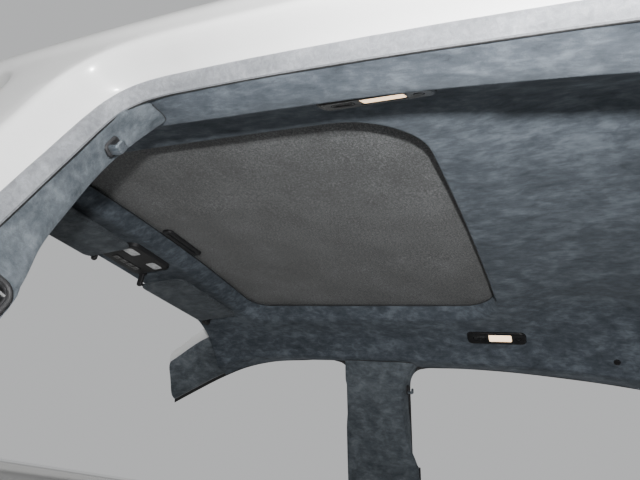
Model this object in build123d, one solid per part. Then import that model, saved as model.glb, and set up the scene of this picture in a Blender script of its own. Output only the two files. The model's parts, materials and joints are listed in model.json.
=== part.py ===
"""Roof of a five-door SUV with its lining, cut from the body at the belt line.

The upper body stands on the cut ends of its two B pillars and its two rear
quarters, as a removed roof stands on a floor.  +X is the vehicle's left side,
+Y is its rear, +Z is up.  The origin is on the floor under the middle.
All sizes are millimetres.
"""
from build123d import *
import math
import os

os.makedirs("parts", exist_ok=True)

# ----------------------------------------------------------------- sizes
TUMBLE = 0.44            # side glass leans in this much for each mm of height
FLANGE_X0 = 705.0        # half width over the door flange at height FLANGE_Z0
FLANGE_Z0 = 494.0
OUTER_TUMBLE = 0.374     # outer face of the pillars
OUTER_X0, OUTER_Z0 = 750.0, 548.0
PLAN_START, PLAN_LEN, PLAN_IN = 400.0, 840.0, 45.0   # body narrows at both ends

FRONT_Y, REAR_Y = -1240.0, 1240.0       # ends of the A pillar stubs and quarters
HEADER_Y, TAIL_Y = -1040.0, 1150.0      # ends of the roof panel
B_FRONT, B_REAR = -506.0, -338.0        # door flanges on the B pillar
SKIN_T = 2.5                            # roof panel
LINING_T = 6.0                          # moulded roof lining
TRIM_T = 4.0                            # pillar trims
DITCH_X = 612.0                         # roof ditch, half width
ROOF_CROWN = 45.0                       # ridge above the ditch

# sunroof opening in the lining: half width, front, rear, corner radius in front and behind
OPEN_LIP = (484.5, -832.0, 7.0, 85.0, 130.0)        # lower edge of its side walls
OPEN_TOP = (453.0, -792.0, 5.0, 65.0, 110.0)        # upper edge, just under the shade
WALL_T = 6.0
EDGE_W = 3.0                            # black edging along the upper edge
SHADE_GAP = 5.3
GLASS_HX, GLASS_Y0, GLASS_Y1, GLASS_R = 486.0, -866.0, 52.0, 70.0
GLASS_GAP = 6.0
GLASS_T = 5.0

SHADE_Z = 618.0                         # underside of the shade's edges
SHADE_T = 4.0
SHADE_HX = 466.0
SHADE_Y0, SHADE_Y1 = -816.0, 16.0
SHADE_CROWN = 16.0
SHADE_TRAVEL = 650.0

VISOR_X0, VISOR_X1 = 106.0, 430.0
VISOR_Y, VISOR_Z = -972.0, 553.0        # the visor's hinge line
VISOR_DEPTH, VISOR_T, ROD_R = 150.0, 16.0, 4.0
VISOR_TILT = 7.0                        # stowed, it follows the lining up to the rear
VISOR_FIT = 0.08                        # radial clearance on the rod

LAMP = (560.0, -20.0, 551.5)            # centre of a reading lamp's face
LAMP_SLOPE = 27.0                       # degrees from level
LAMP_L, LAMP_W, LAMP_T = 166.0, 46.0, 12.0
LENS_L, LENS_W, LENS_OFF = 64.0, 27.0, 11.0


def lerp_table(rows, col, y):
    """Value of a column at y, straight between the table's rows."""
    if y <= rows[0][0]:
        return rows[0][col]
    for a, b in zip(rows, rows[1:]):
        if y <= b[0]:
            return a[col] + (b[col] - a[col]) * (y - a[0]) / (b[0] - a[0])
    return rows[-1][col]


def plan_in(y):
    return PLAN_IN * (max(0.0, abs(y) - PLAN_START) / PLAN_LEN) ** 2


def flange_x(y, z):
    return FLANGE_X0 + TUMBLE * (FLANGE_Z0 - z) - plan_in(y)


# Roof lining, half section at each station, on its visible lower face.
#   y, z_mid, z_b (at CROWN_X), x_c, z_c (foot of the flat), x_e, z_e (lowest point of the lip), z_f (door edge)
CROWN_X = 436.0
LINING = [
    (-1012.0, 580.0, 566.0, 556.0, 516.0, 640.0, 440.0, 442.0),
    (-900.0, 597.0, 582.0, 566.0, 530.0, 640.0, 474.0, 478.0),
    (-800.0, 600.0, 576.0, 571.0, 539.0, 640.0, 486.0, 491.0),
    (-560.0, 605.0, 581.0, 575.0, 546.0, 640.0, 491.0, 498.0),
    (-200.0, 607.0, 583.0, 576.0, 547.0, 640.0, 490.0, 498.0),
    (60.0, 607.0, 584.0, 574.0, 543.0, 640.0, 484.0, 491.0),
    (180.0, 615.0, 598.0, 572.3, 537.0, 639.0, 476.0, 485.0),
    (294.0, 616.0, 600.0, 570.0, 529.0, 638.0, 466.0, 477.0),
    (600.0, 588.0, 570.0, 560.0, 498.0, 640.0, 424.0, 438.0),
    (880.0, 548.0, 528.0, 542.0, 458.0, 622.0, 386.0, 398.0),
    (1132.0, 504.0, 486.0, 520.0, 418.0, 598.0, 350.0, 362.0),
]

# Roof panel:   y, ridge height, half width at the ditch
ROOF = [
    (-1040.0, 640.0, 600.0),
    (-900.0, 664.0, 608.0),
    (-700.0, 684.0, 612.0),
    (-400.0, 699.0, 612.0),
    (-100.0, 704.0, 612.0),
    (200.0, 700.0, 612.0),
    (500.0, 684.0, 608.0),
    (800.0, 656.0, 598.0),
    (1000.0, 626.0, 586.0),
    (1150.0, 594.0, 574.0),
]


def ridge(y):
    return lerp_table(ROOF, 1, y)


def ditch_x(y):
    return lerp_table(ROOF, 2, y)


def roof_z(x, y):
    return ridge(y) - ROOF_CROWN * (x / ditch_x(y)) ** 2


def wire3(pts):
    return Wire.make_polygon([Vector(*p) for p in pts], close=True)


def ruled(sections):
    """One solid through closed sections of equal corner counts."""
    s = Solid.make_loft([wire3(p) for p in sections], ruled=True)
    return s if s.volume > 0 else Solid(s.wrapped.Reversed())


def offset_open(pts, t):
    """A polyline in the plane moved to its left side by t, corners mitred."""
    out = []
    n = len(pts)
    for i in range(n):
        a = pts[max(i - 1, 0)]
        b = pts[i]
        c = pts[min(i + 1, n - 1)]
        d1 = (b[0] - a[0], b[1] - a[1])
        d2 = (c[0] - b[0], c[1] - b[1])
        l1, l2 = math.hypot(*d1), math.hypot(*d2)
        if l1 < 1e-9:
            d1, l1 = d2, l2
        if l2 < 1e-9:
            d2, l2 = d1, l1
        n1 = (-d1[1] / l1, d1[0] / l1)
        n2 = (-d2[1] / l2, d2[0] / l2)
        m = (n1[0] + n2[0], n1[1] + n2[1])
        k = 2.0 * t / (m[0] ** 2 + m[1] ** 2)
        out.append((b[0] + m[0] * k, b[1] + m[1] * k))
    return out


def box(x0, x1, y0, y1, z0, z1):
    return Pos((x0 + x1) / 2, (y0 + y1) / 2, (z0 + z1) / 2) * Box(x1 - x0, y1 - y0, z1 - z0)


def rounded_prism(hx, y0, y1, r, z0, z1):
    """Upright prism on a rounded rectangle centred on x = 0."""
    sk = Pos(0, (y0 + y1) / 2, 0) * RectangleRounded(2 * hx, y1 - y0, r)
    return extrude(Pos(0, 0, z0) * sk, z1 - z0)


def prism_yz(pts, x0, x1):
    """Side-view polygon (y, z) extruded across from x0 to x1."""
    return Solid.extrude(Face(wire3([(x0, y, z) for y, z in pts])), Vector(x1 - x0, 0, 0))


def both(shape):
    return shape, mirror(shape, about=Plane.YZ)


def main(shape):
    """The largest solid of a shape, without the slivers a cut may leave."""
    return max(shape.solids(), key=lambda q: q.volume)


def keep(name, *shapes):
    solids = []
    for s in shapes:
        solids += list(s.solids())
    comp = Compound(children=solids) if len(solids) > 1 else solids[0]
    export_step(comp, f"parts/{name}.step")
    bb = comp.bounding_box()
    print(f"{name:28s} solids {len(solids)} vol {sum(s.volume for s in solids)/1e6:9.3f} l  y {bb.min.Y:8.1f} {bb.max.Y:8.1f} z {bb.min.Z:7.1f} {bb.max.Z:7.1f}")


# ------------------------------------------------------------- roof lining
def lining_half(y, up=0.0):
    """Right-hand half of the lining's lower face, centre to door edge, raised by up."""
    zm, zb, xc, zc, xe, ze, zf = (lerp_table(LINING, k, y) for k in range(1, 8))
    xf = flange_x(y, zf) - 10.5
    pts = [(x, zm - (zm - zb) * (x / CROWN_X) ** 2) for x in (0.0, 150.0, 300.0, CROWN_X)]
    pts.append(((CROWN_X + xc) / 2, (zb + zc) / 2 + 6.5))
    pts.append((xc, zc))
    pts.append((xc + (xe - xc) * 0.42, zc - (zc - ze) * 0.40))
    pts.append((xe - 15.0, ze + 14.0))
    pts.append((xe - 7.0, ze + 3.5))
    pts.append((xe + 6.0, ze))
    pts.append((xf, zf))
    return offset_open(pts, up) if up else pts


def lining_shell(low, high, y0=None, y1=None):
    """Shell between two offsets of the lining's lower face."""
    ys = [r[0] for r in LINING]
    if y0 is not None:
        ys = [y0] + [y for y in ys if y0 < y < y1] + [y1]
    sections = []
    for y in ys:
        lo, hi = lining_half(y, low), lining_half(y, high)
        lo[0] = (0.0, lo[0][1])
        hi[0] = (0.0, hi[0][1])
        ring = [(-x, y, z) for x, z in reversed(lo)] + [(x, y, z) for x, z in lo[1:]]
        ring += [(x, y, z) for x, z in reversed(hi)] + [(-x, y, z) for x, z in hi[1:]]
        sections.append(ring)
    return ruled(sections)


def lining_z(x, y):
    pts = lining_half(y)
    x = abs(x)
    for a, b in zip(pts, pts[1:]):
        if a[0] <= x <= b[0]:
            return a[1] + (b[1] - a[1]) * (x - a[0]) / (b[0] - a[0])
    return pts[-1][1]


def lamp_place(side=1):
    """Local frame of a reading lamp: x along the roof, z out of the lining's upper side."""
    return Pos(LAMP[0], LAMP[1], LAMP[2]) * Rot(0, LAMP_SLOPE, 0)


lamp_hole = lamp_place() * Pos(0, 0, 6) * Box(LAMP_W - 5, LAMP_L - 5, 40)
console_hole = box(-76, 76, -978, -862, 540, 640)

def opening_path(size, grow=0.0):
    """Right half of the rounded opening's outline, from its front middle to its rear middle."""
    hx, y0, y1, rf, rr = size
    hx, y0, y1, rf, rr = hx + grow, y0 - grow, y1 + grow, rf + grow, rr + grow
    pts = [(0.0, y0), ((hx - rf) / 2, y0)]
    pts += [(hx - rf + rf * math.sin(a), y0 + rf - rf * math.cos(a)) for a in (math.radians(15 * k) for k in range(7))]
    pts += [(hx, y) for y in (-560.0, -380.0, -200.0)]
    pts += [(hx - rr + rr * math.cos(a), y1 - rr + rr * math.sin(a)) for a in (math.radians(15 * k) for k in range(7))]
    return pts + [((hx - rr) / 2, y1), (0.0, y1)]


def opening_prism(size, grow, z0, z1):
    half = opening_path(size, grow)
    loop = half + [(-x, y) for x, y in reversed(half[1:-1])]
    return Solid.extrude(Face(wire3([(x, y, z0) for x, y in loop])), Vector(0, 0, z1 - z0))


def shade_z(x):
    """Underside of the shade."""
    return SHADE_Z + SHADE_CROWN * (1 - (min(abs(x), OPEN_TOP[0]) / OPEN_TOP[0]) ** 2)


lining = lining_shell(0.0, LINING_T)
lining = lining - opening_prism(OPEN_LIP, WALL_T + 0.3, 500, 700)
lining = lining - lamp_hole - mirror(lamp_hole, about=Plane.YZ) - console_hole

# covered wall that rises from the lining's lower face to the shade, all round the opening
w_secs, e_secs = [], []
for (xl, yl), (xb, yb), (xt, yt), (xu, yu) in zip(
        opening_path(OPEN_LIP), opening_path(OPEN_LIP, WALL_T), opening_path(OPEN_TOP), opening_path(OPEN_TOP, WALL_T)):
    zl, zb, zt = lining_z(xl, yl), lining_z(xb, yb), shade_z(xt) - SHADE_GAP
    w_secs.append([(xl, yl, zl), (xb, yb, zb), (xb, yb, zb + LINING_T), (xu, yu, zt), (xt, yt, zt)])
wall_ring = ruled(w_secs)
wall_ring = wall_ring + mirror(wall_ring, about=Plane.YZ)
keep("opening_wall", wall_ring)

for (xi, yi), (xo, yo) in zip(opening_path(OPEN_TOP, -EDGE_W), opening_path(OPEN_TOP, -0.3)):
    zt = shade_z(xo) - SHADE_GAP
    e_secs.append([(xi, yi, zt - 3.0), (xo, yo, zt - 3.0), (xo, yo, zt), (xi, yi, zt)])
edging = ruled(e_secs)
edging = edging + mirror(edging, about=Plane.YZ)
keep("opening_edging", edging)

# --------------------------------------------------------------- sunshade
sh = []
for i in range(-6, 7):
    x = OPEN_TOP[0] * i / 6
    sh.append((x, shade_z(x)))
sh = [(-SHADE_HX, SHADE_Z)] + sh + [(SHADE_HX, SHADE_Z)]
loop = sh + [(x, z + SHADE_T) for x, z in reversed(sh)]
shade = Solid.extrude(Face(wire3([(x, SHADE_Y0, z) for x, z in loop])), Vector(0, SHADE_Y1 - SHADE_Y0, 0))
keep("sunshade_panel", shade)

grip_z = SHADE_Z + SHADE_CROWN
grip = box(-75, 75, -786, -756, grip_z - 9, grip_z - 0.6)
grip = fillet(grip.edges().filter_by(Axis.Z), 10)
grip = grip - box(-58, 58, -778, -764, grip_z - 10, grip_z - 3.5)
keep("sunshade_grip", grip)


# -------------------------------------------------------------- shade rails
RAIL_Y0, RAIL_Y1 = -846.0, 690.0
rail = box(457, 474, RAIL_Y0, RAIL_Y1, 613.4, 627.0) - box(456, 468.5, RAIL_Y0 - 1, RAIL_Y1 + 1, 616.6, 623.4)
rl, rr = both(rail)
keep("shade_rails", rl, rr)

# ------------------------------------------------------------- roof panel
ROOF_X = [-1.0, -0.75, -0.5, -0.25, 0.0, 0.25, 0.5, 0.75, 1.0]


def roof_shell(low, high, grow=0.0):
    """Shell between two vertical offsets of the roof panel's outer face."""
    sections = []
    for y, _, hx in ROOF:
        top = [((hx + grow) * s, y, roof_z((hx + grow) * s, y) + high) for s in ROOF_X]
        bot = [((hx + grow) * s, y, roof_z((hx + grow) * s, y) + low) for s in ROOF_X]
        sections.append(top + list(reversed(bot)))
    return ruled(sections)


skin = roof_shell(-SKIN_T, 0.0)
skin = skin - rounded_prism(GLASS_HX + GLASS_GAP, GLASS_Y0 - GLASS_GAP, GLASS_Y1 + GLASS_GAP, GLASS_R + GLASS_GAP, 500, 800)
keep("roof_panel", skin)

glass = roof_shell(-GLASS_T, 0.0) & rounded_prism(GLASS_HX, GLASS_Y0, GLASS_Y1, GLASS_R, 500, 800)
keep("sunroof_glass", glass)

gasket = roof_shell(-9.0, -0.6) & (
    rounded_prism(GLASS_HX + GLASS_GAP - 0.6, GLASS_Y0 - GLASS_GAP + 0.6, GLASS_Y1 + GLASS_GAP - 0.6, GLASS_R + GLASS_GAP - 0.6, 500, 800)
    - rounded_prism(GLASS_HX + 0.4, GLASS_Y0 - 0.4, GLASS_Y1 + 0.4, GLASS_R + 0.4, 500, 800))
keep("sunroof_gasket", gasket)

# frame that carries the glass and the rails, bonded under the panel
under_skin = roof_shell(-SKIN_T - 0.3, 200.0, 30.0)
ring = roof_shell(-15.0, -9.6) & (rounded_prism(540, -925, 108, 90, 500, 800) - rounded_prism(474, -854, 40, 58, 500, 800))
wall = roof_shell(-12.0, -3.2) & (rounded_prism(518, -900, 86, 80, 500, 800) - rounded_prism(506, -888, 74, 76, 500, 800))
frame_s = ring + wall
under_ring = roof_shell(-12.0, 200.0, 30.0)
for y0 in (-640, -120, 30):
    lug = box(474.4, 500, y0, y0 + 40, 618, 720) - under_ring
    frame_s = frame_s + lug + mirror(lug, about=Plane.YZ)
keep("sunroof_frame", frame_s)

# ------------------------------------------------------------ side frames
#   y, ditch x, ditch z, drop of the outer shoulder, foot shift inwards
SIDE = [
    (-1240.0, 640.0, 487.0, 0.62),
    (-1040.0, 601.0, 595.0, 0.80),
    (-900.0, 609.0, 619.0, 0.92),
    (-700.0, 613.0, 639.0, 1.0),
    (-400.0, 613.0, 654.0, 1.0),
    (-100.0, 613.0, 659.0, 1.0),
    (200.0, 613.0, 655.0, 1.0),
    (500.0, 609.0, 639.0, 1.0),
    (800.0, 599.0, 611.0, 1.0),
    (1000.0, 587.0, 581.0, 0.95),
    (1150.0, 575.0, 549.0, 0.90),
    (1240.0, 566.0, 524.0, 0.85),
]


def side_section(y, xd, zd, k):
    pin = plan_in(y)
    x5, z5 = 0.0, zd - 107 * k
    x5 = OUTER_X0 - OUTER_TUMBLE * (z5 - OUTER_Z0) - pin
    w = x5 - xd
    return [
        (xd, y, zd), (xd + 0.39 * w, y, zd - 6 * k), (xd + 0.72 * w, y, zd - 31 * k),
        (xd + 0.92 * w, y, zd - 68 * k), (x5, y, z5),
        (OUTER_X0 + OUTER_TUMBLE * OUTER_Z0 - pin, y, 0.0),
        (flange_x(y, 0.0) - 26, y, 0.0),
        (flange_x(y, zd - 148 * k) - 22, y, zd - 148 * k),
        (xd + 12, y, zd - 62 * k), (xd, y, zd - 40 * k),
    ]


slab = ruled([side_section(*r) for r in SIDE])

outline = [(-1240, 700), (-1240, -5), (1240, -5), (1240, 440), (1165, 700)]
rear_flange = [
    (B_REAR, -30), (B_REAR, 425), (-333, 462), (-318, 487), (-297, 502), (-266, 510), (-209, 513), (-36, 512),
    (147, 501), (300, 487), (450, 466), (555, 440), (612, 400), (634, 348), (632, 275), (602, -30)]
front_flange = [
    (B_FRONT, -30), (B_FRONT, 425), (-509, 470), (-519, 498), (-541, 514), (-569, 521), (-700, 518), (-830, 506),
    (-930, 483), (-1040, 441), (-1150, 389), (-1262, 333), (-1262, 200), (-1262, 100), (-1262, -30)]
#   how far each corner of the flange outline moves out to the outer edge of the door rebate: dy, dz
rear_jamb = [(-30, 0), (-30, 8), (-28, 14), (-22, 22), (-10, 27), (0, 28), (0, 28), (0, 28), (0, 28),
             (3, 28), (8, 28), (18, 26), (30, 20), (38, 8), (40, 0), (36, 0)]
front_jamb = [(30, 0), (30, 8), (28, 14), (22, 22), (10, 27), (0, 28), (-2, 28), (-6, 28),
              (-8, 28), (-10, 28), (-12, 28), (-14, 28), (-20, 0), (-20, 0), (-20, 0)]


def jamb_cut(flange, grow):
    """Rebate that widens from the flange's plane to beyond the outer skin."""
    a = [(FLANGE_X0 + TUMBLE * (FLANGE_Z0 - z) + 3, y, z) for y, z in flange]
    b = []
    for (y, z), (dy, dz) in zip(flange, grow):
        yy, zz = y + dy * 1.35, z + dz * 1.35
        b.append((OUTER_X0 + 0.374 * (OUTER_Z0 - zz) + 18, yy, zz))
    return ruled([a, b])


side_s = slab & prism_yz(outline, 400, 1200)
for fl, gr in ((rear_flange, rear_jamb), (front_flange, front_jamb)):
    side_s = side_s - prism_yz(fl, 400, 1200)
    side_s = side_s - jamb_cut(fl, gr)
# cut end of the A pillar stub is hollow, as the real box section is
a_pocket = ruled([
    [(660, -1245, 470), (705, -1245, 458), (730, -1245, 420), (742, -1245, 375), (728, -1245, 362), (690, -1245, 400), (656, -1245, 440)],
    [(650, -1120, 535), (695, -1120, 524), (722, -1120, 490), (732, -1120, 440), (716, -1120, 424), (680, -1120, 462), (646, -1120, 505)]])
side_s = side_s - a_pocket

# quarter window: corners (y, z) of the hole in the panel, with the radius of each
QW = [(742.0, 66.0, 34.0), (1128.0, 66.0, 46.0), (1092.0, 344.0, 62.0), (796.0, 384.0, 46.0)]


def rounded_yz(grow, x0, x1):
    """Prism across the body on the quarter window's outline, grown by some millimetres."""
    n = len(QW)
    pts = []
    for i, (y, z, r) in enumerate(QW):
        r = r + grow
        (ya, za, _), (yb, zb, _) = QW[i - 1], QW[(i + 1) % n]
        d1 = (y - ya, z - za)
        d2 = (yb - y, zb - z)
        l1, l2 = math.hypot(*d1), math.hypot(*d2)
        u1, u2 = (d1[0] / l1, d1[1] / l1), (d2[0] / l2, d2[1] / l2)
        n1, n2 = (u1[1], -u1[0]), (u2[1], -u2[0])
        k = grow / (1 + n1[0] * n2[0] + n1[1] * n2[1])
        c = (y + (n1[0] + n2[0]) * k, z + (n1[1] + n2[1]) * k)
        half = math.acos(max(-1, min(1, u1[0] * u2[0] + u1[1] * u2[1]))) / 2
        cut = r * math.tan(half)
        o = (c[0] - u1[0] * cut - n1[0] * r, c[1] - u1[1] * cut - n1[1] * r)
        a0 = math.atan2(n1[1], n1[0])
        for k in range(7):
            a = a0 + 2 * half * k / 6
            pts.append((o[0] + r * math.cos(a), o[1] + r * math.sin(a)))
    return prism_yz(pts, x0, x1)


def outer_x(y, z):
    return OUTER_X0 + OUTER_TUMBLE * (OUTER_Z0 - z) - plan_in(y)


def side_slab(inset_out, inset_in, y0, y1, z0, z1):
    """Plate between two insets from the body's outer face."""
    return ruled([[(outer_x(y, z0) - inset_out, y, z0), (outer_x(y, z1) - inset_out, y, z1),
                   (outer_x(y, z1) - inset_in, y, z1), (outer_x(y, z0) - inset_in, y, z0)]
                  for y in (y0, (y0 + y1) / 2, y1)])


side_s = side_s - rounded_yz(0.0, 600, 1200)
quarter_glass = side_slab(6.0, 11.0, 700, 1180, 20, 430) & rounded_yz(-9.0, 600, 1200)
quarter_gasket = side_slab(2.0, 16.0, 700, 1180, 20, 430) & (rounded_yz(-0.4, 600, 1200) - rounded_yz(-8.6, 600, 1200))
keep("quarter_glasses", main(quarter_glass), mirror(main(quarter_glass), about=Plane.YZ))
keep("quarter_gaskets", main(quarter_gasket), mirror(main(quarter_gasket), about=Plane.YZ))
side_l, side_r = both(side_s)
keep("side_frame_left", side_l)
keep("side_frame_right", side_r)


# ------------------------------------------------------------ roof headers
def header(rows):
    """Cross member through sections across the roof: each row is y offset, drop below the panel."""
    secs = []
    for s in (-1.0, -0.66, -0.33, 0.0, 0.33, 0.66, 1.0):
        sec = []
        for y, drop, hx in rows:
            x = hx * s
            sec.append((x, y, roof_z(x * (ditch_x(max(y, HEADER_Y)) / 612.0), min(max(y, HEADER_Y), TAIL_Y)) - drop))
        secs.append(sec)
    return ruled(secs)


front_header = header([
    (-1062, 12, 596), (-1062, 16, 596), (-1042, 20, 596), (-1030, 52, 596), (-985, 47, 596), (-960, 36, 596), (-960, 6, 596), (-1038, 6, 596)])
keep("windscreen_header", front_header)
rear_header = header([
    (1060, 6, 568), (1060, 34, 568), (1090, 74, 568), (1140, 72, 568), (1172, 44, 568), (1186, 40, 568), (1186, 36, 568), (1144, 6, 568)])
rear_header = rear_header - under_skin
keep("rear_header", rear_header)


# ---------------------------------------------------------------- seals
def strip(path, section, normal_of):
    """Solid of constant section along 3-D points, mitred at each one."""
    secs = []
    n = len(path)
    for i, p in enumerate(path):
        p = Vector(*p)
        a = Vector(*path[max(i - 1, 0)])
        b = Vector(*path[min(i + 1, n - 1)])
        t1 = (p - a).normalized() if i else (b - p).normalized()
        t2 = (b - p).normalized() if i < n - 1 else t1
        t = (t1 + t2).normalized()
        nn = normal_of(p)
        nn = (nn - t * nn.dot(t)).normalized()
        side = t.cross(nn)
        stretch = 1.0 / max(0.5, t.dot(t1))
        secs.append([tuple(p + side * (u * stretch) + nn * v) for u, v in section])
    return ruled(secs)


def side_normal(_):
    return Vector(1, 0, TUMBLE).normalized()


def flange_path(outline_pts, inset):
    pts = offset_open(outline_pts, inset)
    return [(flange_x(y, z) + 0.0, y, z) for y, z in pts]


#   seal section: across the flange edge (+ is towards the body), out of the flange
SEAL = [(-11, -6), (-9, -9), (6, -9), (10, -6), (11, 3), (8, 10), (0, 14), (-8, 12), (-11, 7)]
rear_path = [(y, max(z, 0.0)) for y, z in rear_flange]
front_path = [(y, max(z, 0.0)) for y, z in front_flange[:12]]
front_path[-1] = (-1238.0, 345.0)
SEAL_IN = 11.0
rear_seal = strip(flange_path(rear_path, -SEAL_IN), SEAL, side_normal)
front_seal = strip(flange_path(front_path, SEAL_IN), SEAL, side_normal)
floor_cut = box(400, 1200, -1300, 1300, -200, 0.0)
rear_seal = main(rear_seal - floor_cut - side_s)
front_seal = main(front_seal - floor_cut - side_s)
for name, s in (("rear_door_seal", rear_seal), ("front_door_seal", front_seal)):
    a, b = both(s)
    keep(name + "_left", a)
    keep(name + "_right", b)


# ------------------------------------------------------------ pillar trims
#   B pillar trim, one level to a row: z, rear edge y, rear corner y, depth inboard of the flange
B_TRIM = [
    (0.0, -306.0, -268.0, 66.0),
    (120.0, -308.0, -268.0, 66.0),
    (200.0, -312.0, -289.0, 66.0),
    (250.0, -315.0, -311.0, 65.0),
    (310.0, -317.0, -320.0, 64.0),
    (420.0, -318.0, -321.0, 63.0),
    (455.0, -308.0, -308.0, 62.0),
    (487.0, -289.0, -288.0, 60.0),
]
B_MID = (B_FRONT + B_REAR) / 2


def b_ring(row):
    """Visible face of the B trim at one level, rear edge to front edge, as (y, inset)."""
    z, y_edge, y_corner, d = row
    rear = [(y_edge, 12.5), ((y_edge + y_corner) / 2, 32.0), (y_corner, d - 13), (y_corner - 5, d - 4),
            (y_corner - 18, d), (B_MID, d + 2)]
    front_edge, front_corner = 2 * B_MID - min(y_edge, -314.0), 2 * B_MID - max(-322.0, min(y_corner, -318.0))
    front = [(front_corner + 18, d), (front_corner + 5, d - 4), (front_corner, d - 13),
             ((front_edge + front_corner) / 2, 32.0), (front_edge, 12.5)]
    return rear + front


b_secs = []
for row in B_TRIM:
    face = b_ring(row)
    back = offset_open(face, TRIM_T)
    z = row[0]
    b_secs.append([(flange_x(y, z) - i, y, z) for y, i in face] + [(flange_x(y, z) - i, y, z) for y, i in reversed(back)])
b_trim = ruled(b_secs)

UP = Vector(-TUMBLE, 0, 1).normalized()          # up along the side glass
IN = Vector(-1, 0, -TUMBLE).normalized()         # square to it, into the cabin
VENT_Z, VENT_L, VENT_W = 128.0, 136.0, 46.0
vent_n = Vector(0.30, 1.0, 0.0)
vent_n = (vent_n - UP * vent_n.dot(UP)).normalized()
vent_origin = Vector(flange_x(-289, VENT_Z) - 38.0, -286.5, VENT_Z)
vent_plane = Plane(origin=vent_origin, x_dir=UP, z_dir=vent_n)
vent_cut = extrude(vent_plane * RectangleRounded(VENT_L - 8, VENT_W - 8, 16), 14, both=True)
plate_cut = extrude(vent_plane.offset(0.2) * RectangleRounded(VENT_L + 0.8, VENT_W + 0.8, 19.4), 24)
b_trim = main(b_trim - vent_cut - plate_cut - side_s)
a, b = both(b_trim)
keep("b_pillar_trim_left", a)
keep("b_pillar_trim_right", b)

vent = extrude((vent_plane.offset(-10)) * RectangleRounded(VENT_L - 9, VENT_W - 9, 15.5), 11)
vent = vent + extrude(vent_plane.offset(0.4) * RectangleRounded(VENT_L, VENT_W, 19), 4.5)
vent = vent - extrude(vent_plane.offset(-8) * RectangleRounded(VENT_L - 18, VENT_W - 18, 11), 20)
a, b = both(vent)
keep("b_pillar_vent_left", a)
keep("b_pillar_vent_right", b)
fins = []
for k in range(7):
    u = -(VENT_L - 18) / 2 + (VENT_L - 18) * (k + 1) / 8
    fin = vent_plane * (Pos(u, 0, -1.5) * Rot(0, -28, 0) * Box(2.2, VENT_W - 18.4, 10))
    fins.append(fin)
fins_r = [mirror(f, about=Plane.YZ) for f in fins]
keep("vent_fins", *fins, *fins_r)

# coat hooks on the rear corner of the B trims
HOOK_Z, HOOK_Y, HOOK_INSET = 414.0, -316.6, 38.0
hook_n = (IN * 0.05 + Vector(0, 1, 0) * 1.0).normalized()
hook_plane = Plane(origin=Vector(flange_x(HOOK_Y, HOOK_Z) - HOOK_INSET, HOOK_Y, HOOK_Z), x_dir=UP, z_dir=hook_n)
hook = extrude(hook_plane * RectangleRounded(30, 20, 8), 4)
hook = hook + extrude(hook_plane.offset(3.5) * (Pos(-7, 0, 0) * RectangleRounded(8, 14, 3.5)), 16)
hook = hook + extrude(hook_plane.offset(15) * (Pos(-3, 0, 0) * RectangleRounded(17, 15, 5)), 4.5)
hook = main(hook - b_trim)
a, b = both(hook)
keep("coat_hooks", a, b)


# C pillar and quarter trim: y, inset from the flange plane
C_TRIM = [(586.0, 13.0), (594.0, 32.0), (630.0, 46.0), (680.0, 48.0), (880.0, 48.0), (1100.0, 48.0), (1180.0, 42.0), (1226.0, 30.0)]


def c_top(y):
    return lerp_table(LINING, 7, y) - 9.0 if y < 1132 else 353.0 - (y - 1132.0) * 0.1


c_secs = []
for y, inset in C_TRIM:
    zt = c_top(y)
    c_secs.append([(flange_x(y, 0) - inset, y, 0.0), (flange_x(y, zt) - inset, y, zt),
                   (flange_x(y, zt) - inset + TRIM_T, y, zt), (flange_x(y, 0) - inset + TRIM_T, y, 0.0)])
c_trim = main(ruled(c_secs) - prism_yz(offset_open(rear_flange, -9.0), 400, 1200) - rounded_yz(3.0, 600, 1200) - side_s - rear_seal)
a, b = both(c_trim)
keep("c_pillar_trim_left", a)
keep("c_pillar_trim_right", b)

# A pillar trim over the inner side of the stub
a_secs = []
for y in (-1236.0, -1140.0, -1018.0):
    xd, zd, k = (lerp_table(SIDE, c, y) for c in (1, 2, 3))
    zfl = lerp_table([(b, c) for b, c in reversed(front_flange[7:12])], 1, y)
    p8 = (xd + 12, zd - 62 * k)
    p7 = (flange_x(y, zd - 148 * k) - 22, zd - 148 * k)
    face = [(p8[0] - 9, p8[1] + 4), (p8[0] - 11, p8[1] - 16), (p7[0] - 14, p7[1] - 4),
            (flange_x(y, zfl) - 34, zfl - 4), (flange_x(y, zfl) - 12, zfl - 16)]
    back = offset_open(face, TRIM_T)
    a_secs.append([(x, y, z) for x, z in face] + [(x, y, z) for x, z in reversed(back)])
a_trim = main(ruled(a_secs) - side_s)
a, b = both(a_trim)
keep("a_pillar_trim_left", a)
keep("a_pillar_trim_right", b)

# ---------------------------------------------------------- reading lamps
place = lamp_place()
bezel = extrude(RectangleRounded(LAMP_W, LAMP_L, 14), 5.0)
bezel = Pos(0, 0, -5.2) * bezel
bezel = bezel + Pos(0, 0, -0.2) * extrude(RectangleRounded(LAMP_W - 6, LAMP_L - 6, 12), 13)
bezel = chamfer(bezel.faces().sort_by(Axis.Z)[0].edges(), 1.6)
lens_hole = Pos(0, LENS_OFF, -6) * extrude(RectangleRounded(LENS_W, LENS_L, 4), 16)
spot_hole = Pos(0, -48, -6) * extrude(RectangleRounded(18, 34, 8), 12)
dot_hole = Pos(0, 62, -6) * extrude(Circle(7.5), 12)
bezel = bezel - lens_hole - spot_hole - dot_hole
lens = Pos(0, LENS_OFF, -3.0) * extrude(RectangleRounded(LENS_W - 0.8, LENS_L - 0.8, 3.6), 9)
dot = Pos(0, 62, -4.4) * extrude(Circle(7.1), 6)
pill = Pos(0, -48, -4.4) * extrude(RectangleRounded(17.2, 33.2, 7.6), 6)
pill = pill - Pos(0, -48, -5) * extrude(RectangleRounded(8, 22, 3.9), 2.2)
bezel_l = place * bezel
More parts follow.
